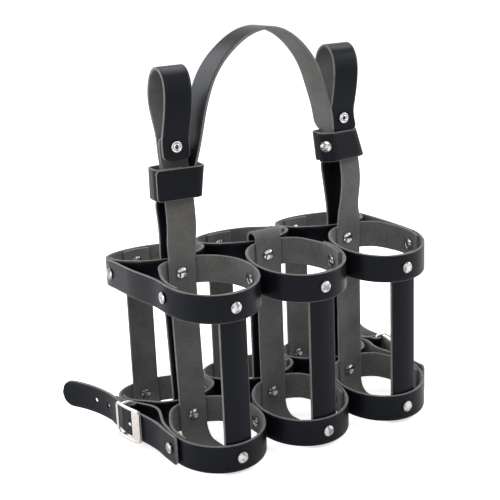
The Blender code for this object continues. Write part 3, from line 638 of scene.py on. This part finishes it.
def leg_route(x, places, across=(1, 0, 0)):
    """Leg places moved to their ring, with their direction across."""
    return columns(x + places[:, 0], *places[:, 1:3].T, *across, places[:, 3])


def loop_rivet_z(side):
    return CAGE_TOP + KEEPER_HEIGHTS[side] + LOOP_RIVET_RISE


def snap_z(side):
    return CAGE_TOP + KEEPER_HEIGHTS[side] + KEEPER_WIDTH + SNAP_RISES[side]


def bent(side, z):
    """How far a front riser's bend has gone at a height: a smooth step from below its keeper."""
    return ease((z - CAGE_TOP - KEEPER_HEIGHTS[side] + SET_BACK_DROP) / SET_BACK_RUN)


# Heights above the cage, and how far there the front riser and its loop stand sideways of the
# ring's middle
SWAYS = {"left": ((-0.020, 0.0, 0.030, 0.0435, 0.0645, 0.079, 0.131),
                  (-0.0042, -0.0036, -0.0008, 0.0006, -0.0004, -0.0023, 0.0016)),
         "right": ((-0.020, 0.0, 0.014, 0.045, 0.058, 0.082, 0.134),
                   (-0.0042, -0.0034, -0.0018, 0.0028, 0.0024, -0.0057, -0.0026))}
SWAY_REACH = 0.008
RISER_YAWS = {"left": np.radians(-12), "right": np.radians(15)}
YAW_START, YAW_RUN = -0.004, 0.024
HELD_START, HELD_RUN = 0.008, 0.012


def sway(side, height):
    """The mean of the sideways places about a height, so that the line bends gently."""
    parts = SWAY_REACH * np.linspace(-1, 1, 9)
    return sum(np.interp(height + part, *SWAYS[side]) for part in parts) / len(parts)


def loop_x(side, z):
    return SIDES[side] * PITCH + sway(side, z - CAGE_TOP)


def front_leg(side):
    """The front corner U, whose back upright goes on as the riser that carries a snap.

    Above the cage the riser turns a little, and its keeper holds it straight again.
    """
    u = leg_u("front")
    leaned = u[:, 0] / LEG_SHIFTS["front"][1] * FRONT_LEG_LEANS[side]
    u[:, 0] += leaned * (1 - u[:, 2] / LEG_TOP)
    z = spread(u[-1, 2], snap_z(side) + RISER_TAIL)[1:]
    height = z - CAGE_TOP
    y = FRONT_RISER_Y + SET_BACK * bent(side, z)
    riser = columns(sway(side, height), y, z, riser_cup(z))
    route = placed(leg_route(SIDES[side] * PITCH, np.vstack([u, riser])))
    held = ease((height - KEEPER_HEIGHTS[side] - HELD_START) / HELD_RUN)
    yaw = RISER_YAWS[side] * ease((height - YAW_START) / YAW_RUN) * (1 - held)
    route[len(u):, 3:5] = columns(np.cos(yaw), np.sin(yaw))
    piece = strip(f"front_leg_{side}", route, STRAP_WIDTH, tips=(0, RISER_TIP))
    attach(piece, "cage")
    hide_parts(f"front_leg_strap_{side}")


def lean(side, height):
    """Sideways place of a rear riser: straight runs between shares of the strap's width."""
    low = KEEPER_HEIGHTS[side]
    knots = (0.0, low, low + KEEPER_WIDTH, HINGE_HEIGHT)
    return STRAP_WIDTH * np.interp(height, knots, LEAN_SHARES[side])


def rear_leg(side):
    """The back corner U with its riser up into the keeper, from the riser's top down."""
    sign, u = SIDES[side], leg_u("back")
    near, far = LEG_SHIFTS["back"]
    u[:, 0] += BACK_LEG_LEANS[side] * ((far - u[:, 0]) / (far - near)) * (1 - u[:, 2] / LEG_TOP)
    z = spread(CAGE_TOP + KEEPER_HEIGHTS[side] - HANDLE_LEAD, u[0, 2])[:-1]
    height = z - CAGE_TOP
    share = ease(height / REAR_RISER_EASE)
    y = mix(ROW_Y - LEG_RADIUS, REAR_RISER_Y, share)
    x = u[0, 0] * (1 - share) - sign * lean(side, height)
    places = np.vstack([columns(x, y, z, riser_cup(z)), u])
    return leg_route(sign * PITCH, places, (-sign, 0, 0))


# The handle from the left keeper to the right one, above the cage: x, y, z, the turn of its
# width from straight across in degrees, and the cup
HANDLE_LINE = [
    (-0.0675, 0.0088, 0.0530, 38, -0.0030), (-0.0615, 0.0052, 0.0640, 68, -0.0024),
    (-0.0598, 0.0046, 0.0720, 74, -0.0006), (-0.0560, 0.0058, 0.0830, 78, 0),
    (-0.0494, 0.0082, 0.1025, 80, 0), (-0.0415, 0.0093, 0.1210, 81, 0),
    (-0.0322, 0.0093, 0.1338, 82, 0), (-0.0190, 0.0093, 0.1448, 83, 0),
    (-0.0070, 0.0093, 0.1508, 83, 0), (0.0055, 0.0093, 0.1528, 84, 0),
    (0.0170, 0.0093, 0.1502, 84, 0), (0.0278, 0.0093, 0.1438, 84, 0),
    (0.0380, 0.0093, 0.1335, 83, 0), (0.0460, 0.0093, 0.1210, 82, 0),
    (0.0522, 0.0082, 0.1020, 81, 0), (0.0547, 0.0062, 0.0880, 83, 0),
    (0.0558, 0.0052, 0.0770, 86, 0), (0.0578, 0.0066, 0.0665, 112, -0.0030),
    (0.0622, 0.0090, 0.0570, 150, -0.0024)]


def handle():
    """Both back corner straps and the arch between them, one strip from end to end.

    The arch is a smooth curve through its own points. Its direction across turns from the left
    riser's to the arch's and on to the right riser's, curled where the keepers hold it.
    """
    foot = CAGE_TOP + HINGE_HEIGHT
    ends = []
    for side, turn in (("left", 0), ("right", 180)):
        x, y, z = rear_leg(side)[0, :3]
        ends.append((x, y, z - CAGE_TOP, turn, 0))
    x, y, z, turn, cup = through([ends[0], *HANDLE_LINE, ends[1]]).T
    turn = np.radians(turn)
    arch = columns(x, y, CAGE_TOP + z, np.cos(turn), -np.sin(turn), 0, cup)
    route = np.vstack([rear_leg("left")[:0:-1], arch, rear_leg("right")[1:]])
    route = softened(even(route), reach=3)
    piece = strip("handle_strap", placed(route), STRAP_WIDTH, grain=-1)
    foot - 0.004
    foot + 0.014
    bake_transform(piece)
    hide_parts("handle", "rear_leg_strap_left", "rear_leg_strap_right")


def saddle():
    """The middle strap: a U in each row, with a half circle over the two rings between them."""
    base = LEG_TOP + LEG_SHORT + LEATHER + lift(0)
    angle = np.linspace(np.pi, 0, FOLD_POINTS)
    x = mix(LEG_SHIFTS["front"][1], LEG_SHIFTS["back"][0], 1 - angle / np.pi)
    fold = columns(x, *arc(0, base, -FRONT_RISER_Y, angle).T, LEG_CUP * (1 - np.sin(angle)))
    places = np.vstack([leg_u("front"), fold, leg_u("back")])
    piece = strip("saddle", placed(leg_route(0, places)), STRAP_WIDTH)
    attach(piece, "cage")
    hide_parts("saddle_strap")


# Keepers and loops


KEEPER_YAWS = {"left": np.radians(-6), "right": np.radians(8)}
KEEPER_SLANTS = {"left": (0.0, 0.14), "right": (-0.10, -0.33)}
KEEPER_CORNERS = {"left": 0.0045, "right": 0.0080}
KEEPER_SPARES = {"left": 0.0, "right": 0.0020}
KEEPER_ENDS = {"left": 0.0, "right": 0.0145}


def keeper_plan(side):
    """The keeper's line from its front's left end, clockwise from above."""
    sign, low = SIDES[side], KEEPER_HEIGHTS[side]
    reach, half = STRAP_WIDTH / 2 + 2 * GAP + LEATHER / 4, LEATHER / 2
    share = bent(side, CAGE_TOP + low)
    places = [PITCH - lean(side, h) for h in (low, low + KEEPER_WIDTH)]
    places += [PITCH - FRONT_LEANS[side] * part for part in (share, 1)]
    inner, outer = sign * (min(places) - reach), sign * (max(places) + reach)
    x0, x1 = min(inner, outer) - half, max(inner, outer) + half + KEEPER_SPARES[side]
    y0 = FRONT_RISER_Y + SET_BACK * share - LEATHER - KEEPER_PLAY - LAYER
    y1 = REAR_RISER_Y + LEATHER + 2 * GAP
    corner, quarter = KEEPER_CORNERS[side], np.linspace(0, np.pi / 2, CORNER_POINTS)
    left, right, near, far = x0 + corner, x1 - corner, y0 + corner, y1 - corner
    places = ((left, near, 270), (left, far, 180), (right, far, 90), (right, near, 0))
    bends = [arc(x, y, corner, np.radians(start) - quarter) for x, y, start in places]
    plan, middle = np.vstack([*bends, (left, y0)]), np.array([(x0 + x1) / 2, (y0 + y1) / 2])
    sy, cy = np.sin(KEEPER_YAWS[side]), np.cos(KEEPER_YAWS[side])
    return even((plan - middle) @ np.array([(cy, sy), (-sy, cy)]) + middle, STEP / 3)


def keeper(side):
    """A loop of strip round riser, snap loop and handle end, lapped at its front's left end.

    The right one laps on the turn there. The inner end runs one layer inside, then steps out,
    and the width slants with the straps. The left one's outer end stands a little proud.
    """
    plan = keeper_plan(side)
    low, high = plan[:, 0].min(), plan[:, 0].max()
    step = np.linalg.norm(plan[1] - plan[0])
    lap, past = int(KEEPER_LAP / step), int(KEEPER_ENDS[side] / step)
    line = plan[np.arange(past - lap, len(plan) + past) % (len(plan) - 1)]
    tangent = unit(np.gradient(line, axis=0))
    inward = np.column_stack([tangent[:, 1], -tangent[:, 0]])
    start, length = KEEPER_STEP
    run = np.arange(len(line)) * step - KEEPER_LAP
    line = line + inward * (LAYER * (1 - ease((run - start) / length)))[:, None]
    if side == "left":
        line = np.vstack([line, line[-1] + tangent[-1] * KEEPER_PROUD])
    line = softened(line, reach=4)
    slant = mix(*KEEPER_SLANTS[side], (line[:, 0] - low) / (high - low))
    z = CAGE_TOP + KEEPER_HEIGHTS[side] + KEEPER_WIDTH / 2
    route = columns(line[:, 0], line[:, 1], z, slant, 0, 1, 0)
    piece = strip(f"keeper_loop_{side}", placed(route), KEEPER_WIDTH, grain=-1,
                  tips=(0, KEEPER_TIP))
    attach(piece, f"keeper_{side}")
    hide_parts(f"keeper_{side}")


# The loop from the side, up its back and down its flap: shares of its depth behind the riser, and
# of its height up to the crest
LOOP_BACK = [(0, 0), (0, 0.12), (0, 0.35), (0.10, 0.45), (0.34, 0.565), (0.55, 0.68),
             (0.62, 0.805), (0.50, 0.93), (0.18, 1.0)]
LOOP_FLAP = [(-0.15, 0.965), (-0.39, 0.84), (-0.50, 0.66), (-0.49, 0.42), (-0.41, 0.18)]


def snap_loop(side):
    """One strip up behind the riser, bulging back, over the top and down to the snap."""
    snap = snap_z(side)
    crest, straight = snap + LOOP_RISE, snap + SNAP_RADIUS
    points = []
    for shares, low in ((LOOP_BACK, loop_rivet_z(side) - LOOP_TAIL), (LOOP_FLAP, straight)):
        points += [(LOOP_BACK_Y + LOOP_DEPTH * out, mix(low, crest, up)) for out, up in shares]
    line = through(points + [(FLAP_Y, straight), (FLAP_Y, snap - FLAP_END)])
    route = columns(loop_x(side, line[:, 1]), *line.T, 1, 0, 0, 0)
    piece = strip(f"snap_loop_{side}", placed(route), STRAP_WIDTH, tips=(0, FLAP_TIP))
    y = MIDDLE_Y + LOOP_BACK_Y
    y - LAYER / 2
    y - LAYER * 2
    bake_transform(piece)
    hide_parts(f"loop_back_{side}", f"loop_flap_{side}")


# Buckled end straps


def buckle_height(y):
    """The billet's height: its rivet's, easing to the buckle bar's, and rising along the tail."""
    share = ease((y + ROW_Y) / (BAR_Y + ROW_Y))
    rise = TAIL_RISE * ease((y - TAIL_Y) / TAIL_LENGTH)
    return BAND_HEIGHTS["bottom"] + mix(lift(ROW_Y), lift(BAR_Y) + BUCKLE_LIFT, share) + rise


def billet_out(y):
    """How far out the billet lies: on the ring at the front, easing out over the buckle's bar."""
    start = -ROW_Y + BILLET_START
    out = mix(END_OUT + LAYER, BILLET_OUT, ease((y - start) / (BAR_Y - start)))
    return out - BILLET_FALL * ease((y - BAR_Y) / (TAIL_Y - BAR_Y))


def tail_out(along):
    """How far out the tail lies: the square of the share of its length, times its sweep."""
    return billet_out(TAIL_Y) + TAIL_SWEEP * (along / TAIL_LENGTH) ** 2


def punched(piece, holes, radius):
    """Cuts round holes, each a place and a direction, and keeps the cut as the piece's mesh."""
    cutters = []
    for place, axis in holes:
        turn = Vector(axis).to_track_quat("Z", "Y").to_euler()
        bpy.ops.mesh.primitive_cylinder_add(vertices=24, radius=radius, depth=4 * LEATHER,
                                            location=place, rotation=turn)
        cutters.append(bpy.context.object)
    for cutter in cutters:
        cut = piece.modifiers.new("hole", "BOOLEAN")
        cut.object, cut.operation, cut.solver = cutter, "DIFFERENCE", "EXACT"
    bpy.context.view_layer.update()
    drawn = piece.evaluated_get(bpy.context.evaluated_depsgraph_get())
    mesh = bpy.data.meshes.new_from_object(drawn)
    piece.modifiers.clear()
    piece.data = mesh
    for cutter in cutters:
        bpy.data.objects.remove(cutter)


def billet(side):
    """The strip from the front ring through the buckle to its free, rounded tail."""
    sign = SIDES[side]
    y, tail = spread(-ROW_Y - BILLET_LEAD, TAIL_Y), spread(0, TAIL_LENGTH)[1:]
    out, ys = np.append(billet_out(y), tail_out(tail)), np.append(y, TAIL_Y + tail)
    route = columns(sign * out, ys, buckle_height(ys), 0, 0, 1, 0)
    piece = strip(f"billet_strip_{side}", placed(route), STRAP_WIDTH, grain=sign, tips=BILLET_TIPS)
    holes = []
    for along in HOLE_START + HOLE_PITCH * np.arange(HOLES):
        y, slope = TAIL_Y + along, 2 * TAIL_SWEEP * along / TAIL_LENGTH ** 2
        place = (sign * tail_out(along), MIDDLE_Y + y, buckle_height(y))
        holes.append((place, (1, -sign * slope, 0)))
    y = BAR_Y - TONGUE_HOLE
    place = (sign * billet_out(y), MIDDLE_Y + y, buckle_height(BAR_Y))
    punched(piece, holes + [(place, (sign, TONGUE_SLANT, 0))], HOLE_RADIUS)
    MIDDLE_Y + TAIL_Y - 0.001
    MIDDLE_Y + TAIL_Y + 0.004
    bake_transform(piece)
    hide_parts(f"billet_{side}", f"billet_tail_{side}")


def buckle_strap(side):
    """The short strip folded round the buckle's bar."""
    sign, end = SIDES[side], ROW_Y + BUCKLE_TAIL
    inner = columns(END_OUT + LAYER, spread(end, BAR_Y))
    fold = arc(BAR_OUT, BAR_Y, FOLD_RADIUS, np.linspace(-np.pi, 0, 20)[1:-1])
    y = spread(BAR_Y, end)
    share = ease((y - BAR_Y) / (ROW_Y - BAR_Y - CAP_RADIUS))
    outer = columns(mix(BAR_OUT + FOLD_RADIUS, END_OUT + 2 * LAYER, share), y)
    plan = np.vstack([inner, fold, outer])
    share = ease((plan[:, 1] - BAR_Y) / (ROW_Y - BAR_Y))
    z = BAND_HEIGHTS["bottom"] + mix(lift(BAR_Y) + BUCKLE_LIFT, lift(ROW_Y), share)
    route = columns(sign * plan[:, 0], plan[:, 1], z, 0, 0, 1, 0)
    piece = strip(f"buckle_loop_{side}", placed(route, "bottom"), STRAP_WIDTH, grain=sign)
    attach(piece, "cage")
    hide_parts(f"buckle_strap_{side}")


# Metal


def tube(path, radius, sides=16, closed=False, squash=1.0):
    """Points, faces and UV of a bar along a path: a circle on the path's own frame, or an oval."""
    path = np.asarray(path, float)
    if closed:
        tangent = unit(np.roll(path, -1, axis=0) - np.roll(path, 1, axis=0))
    else:
        tangent = unit(np.gradient(path, axis=0))
    upright = np.ptp(path[:, 0]) < np.ptp(path[:, 2])
    first = unit(np.cross(tangent, (1.0, 0.0, 0.0) if upright else (0.0, 0.0, 1.0)))
    second = np.cross(tangent, first)
    angle = np.linspace(0, 2 * np.pi, sides, endpoint=False)[None, :, None]
    points = path[:, None] + radius * (np.cos(angle) * first[:, None]
                                       + squash * np.sin(angle) * second[:, None])
    points = points.reshape(-1, 3)
    return points, skin(len(path), sides, closed), np.zeros((len(points), 2))


def turned(profile, centre, axis, sides=40):
    """Points, faces and UV of a profile of (radius, height) turned about a level axis."""
    radius, height = np.array(profile, float).T
    axis = unit(np.array(axis, float))
    first = unit(np.cross((0.0, 0.0, 1.0), axis))
    second = np.cross(axis, first)
    angle = np.linspace(0, 2 * np.pi, sides, endpoint=False)
    spoke = np.cos(angle)[:, None] * first + np.sin(angle)[:, None] * second
    points = (np.asarray(centre, float) + radius[:, None, None] * spoke[None]
              + height[:, None, None] * axis).reshape(-1, 3)
    uv = np.column_stack([np.repeat(radius / radius.max(), sides), np.tile(angle, len(radius))])
    return points, skin(len(radius), sides), uv


def metal(name, parts, finish):
    """One mesh of several sets of points, faces and UV."""
    faces, start = [], 0
    for points, polygons, uv in parts:
        faces += [[start + index for index in polygon] for polygon in polygons]
        start += len(points)
    verts, uv = np.vstack([part[0] for part in parts]), np.vstack([part[2] for part in parts])
    obj = surface(name, verts, faces, uv, np.zeros(len(faces)), [finish])
    return obj


def cap(centre, axis, seat):
    """A domed rivet cap: a face that falls by a power of its radius, a rolled rim, a flat back."""
    share = np.linspace(0.02, 1, 12)
    fall = DOME_FALL * share ** DOME_POWER
    dome = columns(CAP_RADIUS * DOME_SHARE * share, seat + CAP_HEIGHT * (1 - fall))
    rim = CAP_HEIGHT * RIM_SHARE
    curl = arc(CAP_RADIUS - rim, seat + rim, rim, np.linspace(np.pi / 2.6, -np.pi / 2, 7)[1:])
    return turned(np.vstack([dome, curl, (CAP_RADIUS * 0.3, seat)]), centre, axis)


def layers_deep(layers):
    """Depth of a number of layers of leather with the gaps between them."""
    return layers * LEATHER + (layers - 1) * GAP


def rivet(centre, axis, grip):
    """Two caps and the post between them."""
    axis = np.array(axis, float)
    seat = grip / 2 + GAP / 3
    post = turned([(POST_RADIUS, -seat - GAP), (POST_RADIUS, seat + GAP)], centre, axis, 12)
    return [cap(centre, axis, seat), cap(centre, -axis, seat), post]


def rivets():
    """Every rivet that rides on the cage."""
    parts, two = [], layers_deep(2)
    for level, height in BAND_HEIGHTS.items():
        for row, way in ROWS.items():
            y, z = way * ROW_Y, height + lift(ROW_Y)
            here = MIDDLE_Y + y
            for x, grip in ((-PITCH / 2, two), (PITCH / 2 - LAYER / 2, layers_deep(3))):
                parts += rivet((x + skew(level, x, y), here, z), (1, 0, 0), grip + 2 * CAP_SEAT)
            layers = 2 if level == "top" else (3 if row == "front" else 4)
            lead = FRONT_RIVET_LEAD if layers == 3 else 0
            grip = layers_deep(layers) + CAP_SEAT
            middle = END_OUT - LAYER + (layers - 1) * LAYER / 2 - CAP_SEAT / 2
            for sign in SIDES.values():
                x = sign * middle
                parts += rivet((x + skew(level, x, y), here - lead, z), (sign, 0, 0), grip)
            y = way * (ROW_Y + (LEG_RADIUS + BAND_RADIUS) / 2)
            z = height + lift(ROW_Y + BAND_RADIUS)
            shift = LEG_SHIFTS[row][(way + 1) // 2]
            for x in (-PITCH, 0, PITCH):
                parts += rivet((x + shift, MIDDLE_Y + y, z), (0, way, 0), two)
        z, grip = height + lift(ROW_Y - BAND_RADIUS), 2 * (ROW_Y - LEG_RADIUS) + LEATHER + CAP_SEAT
        for x in (-PITCH, 0, PITCH):
            shift = LEG_SHIFTS["front"][1]
            if x < 0 and level == "bottom":
                shift += FRONT_LEG_LEANS["left"]
            parts += rivet((x + shift, MIDDLE_Y, z), (0, 1, 0), grip)
    for side in SIDES:
        y, z = MIDDLE_Y + (STUD_Y + LOOP_BACK_Y) / 2, loop_rivet_z(side)
        parts += rivet((loop_x(side, z), y, z), (0, -1, 0), two)
    piece = metal("cage_rivets", parts, BRIGHT)
    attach(piece, "cage")
    kinds = ("ring_rivet", "end_rivet", "loop_rivet")
    nodes = [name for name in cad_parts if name.startswith(kinds)]
    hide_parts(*nodes)


def keeper_rivet():
    """The rivet on the right keeper's lap, where the lap turns its corner."""
    low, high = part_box("keeper_rivet")
    plan = keeper_plan("right")
    middle = int((KEEPER_ENDS["right"] - KEEPER_LAP / 2) / np.linalg.norm(plan[1] - plan[0]))
    tangent = plan[middle + 1] - plan[middle - 1]
    outward = unit(np.array([-tangent[1], tangent[0]]))
    x, y = plan[middle] - outward * LAYER / 2
    centre = (x, MIDDLE_Y + y, (low[2] + high[2]) / 2 + KEEPER_RIVET_RISE)
    piece = metal("keeper_rivet_caps", rivet(centre, (*outward, 0), layers_deep(2)), BRIGHT)
    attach(piece, "keeper_right")
    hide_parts("keeper_rivet")


# A snap's turned profiles: radius, and height over the leather's face
STUD = [(0.0003, 0.0010), (0.0010, 0.0010), (0.0014, 0.0009), (0.0017, 0.0009), (0.0034, 0.0008),
        (0.0037, 0.0004), (0.0034, 0.0002), (0.0003, 0)]
RIDGES = [(0.0011, -0.0004), (0.0012, 0.0008), (0.0016, 0.0013), (0.0021, 0.0012),
          (0.0024, 0.0008), (0.0028, 0.0008), (0.0031, 0.0012), (0.0036, 0.0013),
          (0.0040, 0.0010), (SNAP_RADIUS, 0.0005), (0.0039, 0.0002), (0.0012, 0)]
SOCKET_BACK = [(0.0011, -0.0004), (0.0013, 0), (0.0036, 0), (0.0040, 0.0004), (0.0036, 0.0008),
               (0.0025, 0.0008), (0.0024, -0.0004)]


def snaps(side):
    """The stud on the riser and the ridged socket ring on the flap."""
    x, z = loop_x(side, snap_z(side)), snap_z(side)
    stud, ridges, back = (np.add(line, (0, LEATHER / 2)) for line in (STUD, RIDGES, SOCKET_BACK))
    piece = metal(f"stud_{side}", [turned(stud, (x, MIDDLE_Y + STUD_Y, z), (0, -1, 0))], SOCKET)
    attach(piece, "cage")
    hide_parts(f"snap_stud_{side}")
    centre = (x, MIDDLE_Y + FLAP_Y, z)
    parts = [turned(ridges, centre, (0, -1, 0), 48), turned(back, centre, (0, 1, 0), 32)]
    piece = metal(f"socket_{side}", parts, SOCKET)
    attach(piece, f"flap_{side}")
    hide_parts(f"snap_socket_{side}")


def frame_out(y):
    """The bowed frame's distance out: a crest less the square of the distance from it."""
    return BAR_OUT + FRAME_RISE - (y - BAR_Y - FRAME_CREST) ** 2 / (2 * FRAME_CURVE)


def rounded(low_y, high_y, half, radius):
    """A rounded rectangle in Y and Z, round from the top of its far edge."""
    near, far, reach = low_y + radius, high_y - radius, half - radius
    corners = ((far, reach, 0), (near, reach, 90), (near, -reach, 180), (far, -reach, 270))
    quarter = np.linspace(0, np.pi / 2, CORNER_POINTS)
    return np.vstack([arc(y, z, radius, np.radians(start) + quarter) for y, z, start in corners])


# The tongue's line from the bar: shares of its length outward and forward
TONGUE = [(0.154, 0.108), (0.177, 0.331), (0.231, 0.477), (0.431, 0.646), (0.546, 0.815),
          (0.562, 1.0)]


def buckle(side):
    """The bowed frame with its wide plate, the set-in bar, and the tongue."""
    sign, z0 = SIDES[side], buckle_height(BAR_Y)
    half, front = FRAME_HEIGHT / 2 - FRAME_WIRE, FRAME_Y - FRAME_LENGTH
    y_bar = MIDDLE_Y + BAR_Y
    plan = rounded(front + FRAME_WIRE, FRAME_Y - FRAME_SHORT - FRAME_WIRE, half, FRAME_CORNER)
    y, z = even(np.vstack([plan, plan[:1]]), STEP / 2)[:-1].T
    hoop = columns(sign * frame_out(y), MIDDLE_Y + y, z0 + z)
    bow, step = frame_out(BAR_Y), BAR_OUT + BAR_BEND
    x, z = through([(bow, half), (step, half), (BAR_OUT, half - BAR_BEND), (BAR_OUT, 0),
                    (BAR_OUT, BAR_BEND - half), (step, -half), (bow, -half)]).T
    parts = [tube(hoop, FRAME_WIRE, closed=True, squash=FRAME_SQUASH),
             plate(sign, np.linspace(front + PLATE_OVERLAP, front + PLATE_LENGTH, 12), half, z0),
             tube(columns(sign * x, y_bar, z0 + z), BAR_RADIUS)]
    piece = metal(f"frame_{side}", parts, SATIN)
    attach(piece, f"buckle_{side}")
    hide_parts(f"buckle_frame_{side}")
    angle = np.linspace(0, 2 * np.pi, 32, endpoint=False)
    x, y = arc(BAR_OUT, y_bar, BAR_RADIUS + GAP + TONGUE_RADIUS, angle).T
    eye = tube(columns(sign * x, y, z0), TONGUE_RADIUS, closed=True)
    x, y = through(np.array(TONGUE) * TONGUE_LENGTH).T
    prong = tube(columns(sign * (BAR_OUT + x), y_bar - y, z0), TONGUE_RADIUS)
    piece = metal(f"prong_{side}", [eye, prong], SATIN)
    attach(piece, f"tongue_{side}")
    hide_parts(f"tongue_{side}")


def plate(sign, y, half, z0):
    """The buckle's wide plate: a slab on the frame's bow, thinner toward its inner edge."""
    yy, zz = np.meshgrid(y, np.linspace(-half, half, 15), indexing="ij")
    thick = mix(FRAME_WIRE, PLATE_EDGE, ease((yy - y[0]) / (y[-1] - y[0])))
    points = np.vstack([
        np.stack([sign * (frame_out(yy) + way * thick), MIDDLE_Y + yy, z0 + zz], axis=-1)
        for way in (1, -1)]).reshape(-1, 3)
    rows, cols = yy.shape
    i, j = np.meshgrid(np.arange(rows - 1), np.arange(cols - 1), indexing="ij")
    first = i * cols + j
    quads = np.stack([first, first + cols, first + cols + 1, first + 1], axis=-1).reshape(-1, 4)
    place = np.arange(rows * cols).reshape(rows, cols)
    rim = np.concatenate([place[0], place[1:, -1], place[-1, -2::-1], place[-2::-1, 0]])
    low = rows * cols
    sides = np.stack([rim[:-1], rim[1:], rim[1:] + low, rim[:-1] + low], axis=-1)
    faces = np.vstack([quads, quads[:, ::-1] + low, sides])
    if sign < 0:
        faces = faces[:, ::-1]
    return points, faces.tolist(), np.zeros((len(points), 2))


for side in SIDES:
    for level in BAND_HEIGHTS:
        end_strap(side, level)
    front_leg(side)
    keeper(side)
    snap_loop(side)
    billet(side)
    buckle_strap(side)
    snaps(side)
    buckle(side)
for row in ROWS:
    for level in BAND_HEIGHTS:
        middle_ring(row, level)
handle()
saddle()
rivets()
keeper_rivet()


# Studio


FLOOR, FLOOR_Z = 6.0, -0.0002
LAMP_TARGET = (0, 0, 0.14)
# Each lamp's place, size and watts
LAMPS = {"key": ((-1.1, -1.2, 1.5), (1.1, 1.1), 13.5), "fill": ((1.5, -0.7, 0.9), (1.0, 1.2), 13),
         "top": ((0.5, 0.3, 1.7), (1.2, 1.2), 18), "low": ((-1.5, 0.10, 0.25), (0.7, 0.6), 11),
         "back": ((-0.75, 1.3, 1.0), (1.2, 1.0), 19)}
VIEW_TURN = np.radians((30.96, 16.07, -2.32))
CAMERA_PLACE = (-0.42905, -0.68847, 0.22559)
LENS = 82.46


def studio_floor():
    """A wide pale floor just under the carrier, which glows where the camera sees it."""
    verts = np.array([(x, y, FLOOR_Z) for x, y in (
        (-FLOOR, -FLOOR), (FLOOR, -FLOOR), (FLOOR, FLOOR), (-FLOOR, FLOOR))])
    made, tree, shader = material("pale_floor", (0.80, 0.80, 0.80), 0.9, Specular_IOR_Level=0.0)
    seen = tree.add("ShaderNodeLightPath", out="Is Camera Ray")
    tree.feed(shader["Emission Color"], tree.blend((0.0, 0.0, 0.0), (0.60, 0.60, 0.60), seen))
    shader["Emission Strength"].default_value = 1.0
    surface("floor", verts, [[0, 1, 2, 3]], verts[:, :2], [0], [made])


def studio_world():
    """White where the camera sees it, also in metal or glass, and a soft even light elsewhere."""
    world = bpy.data.worlds.new("studio")
    bpy.context.scene.world = world
    tree = Tree(world)
    camera, glossy, through_glass = (tree.add("ShaderNodeLightPath", out=f"Is {ray} Ray")
                                     for ray in ("Camera", "Glossy", "Transmission"))
    white = camera.math("MAXIMUM", glossy).math("MAXIMUM", through_glass)
    colour = tree.blend((0.50, 0.50, 0.51), (1.0, 1.0, 1.0), white)
    tree.feed(tree.nodes["Background"].inputs["Color"], colour)


def softbox(name, place, size, power):
    """A rectangular area lamp aimed at the carrier's middle."""
    lamp = bpy.data.lights.new(name, "AREA")
    lamp.shape, lamp.energy = "RECTANGLE", power
    lamp.size, lamp.size_y = size
    obj = linked(name, lamp)
    obj.location = place
    aim = Vector(LAMP_TARGET) - Vector(place)
    obj.rotation_euler = aim.to_track_quat("-Z", "Y").to_euler()


def camera():
    """The photograph's view: an azimuth and an elevation, turned about itself by the roll."""
    (sa, se, sr), (ca, ce, cr) = np.sin(VIEW_TURN), np.cos(VIEW_TURN)
    ahead, right, up = np.array([(sa * ce, ca * ce, -se), (ca, -sa, 0), (sa * se, ca * se, ce)])
    axes = np.column_stack([cr * right + sr * up, cr * up - sr * right, -ahead])
    data = bpy.data.cameras.new("camera")
    data.lens = LENS
    obj = linked("camera", data)
    place = Vector(CAMERA_PLACE) + Vector((0, MIDDLE_Y, CAGE_TOP))
    obj.matrix_world = Matrix.Translation(place) @ Matrix(axes.tolist()).to_4x4()
    bpy.context.scene.camera = obj


studio_floor()
studio_world()
for name, settings in LAMPS.items():
    softbox(name, *settings)
camera()
bpy.context.scene.view_settings.view_transform = "Standard"
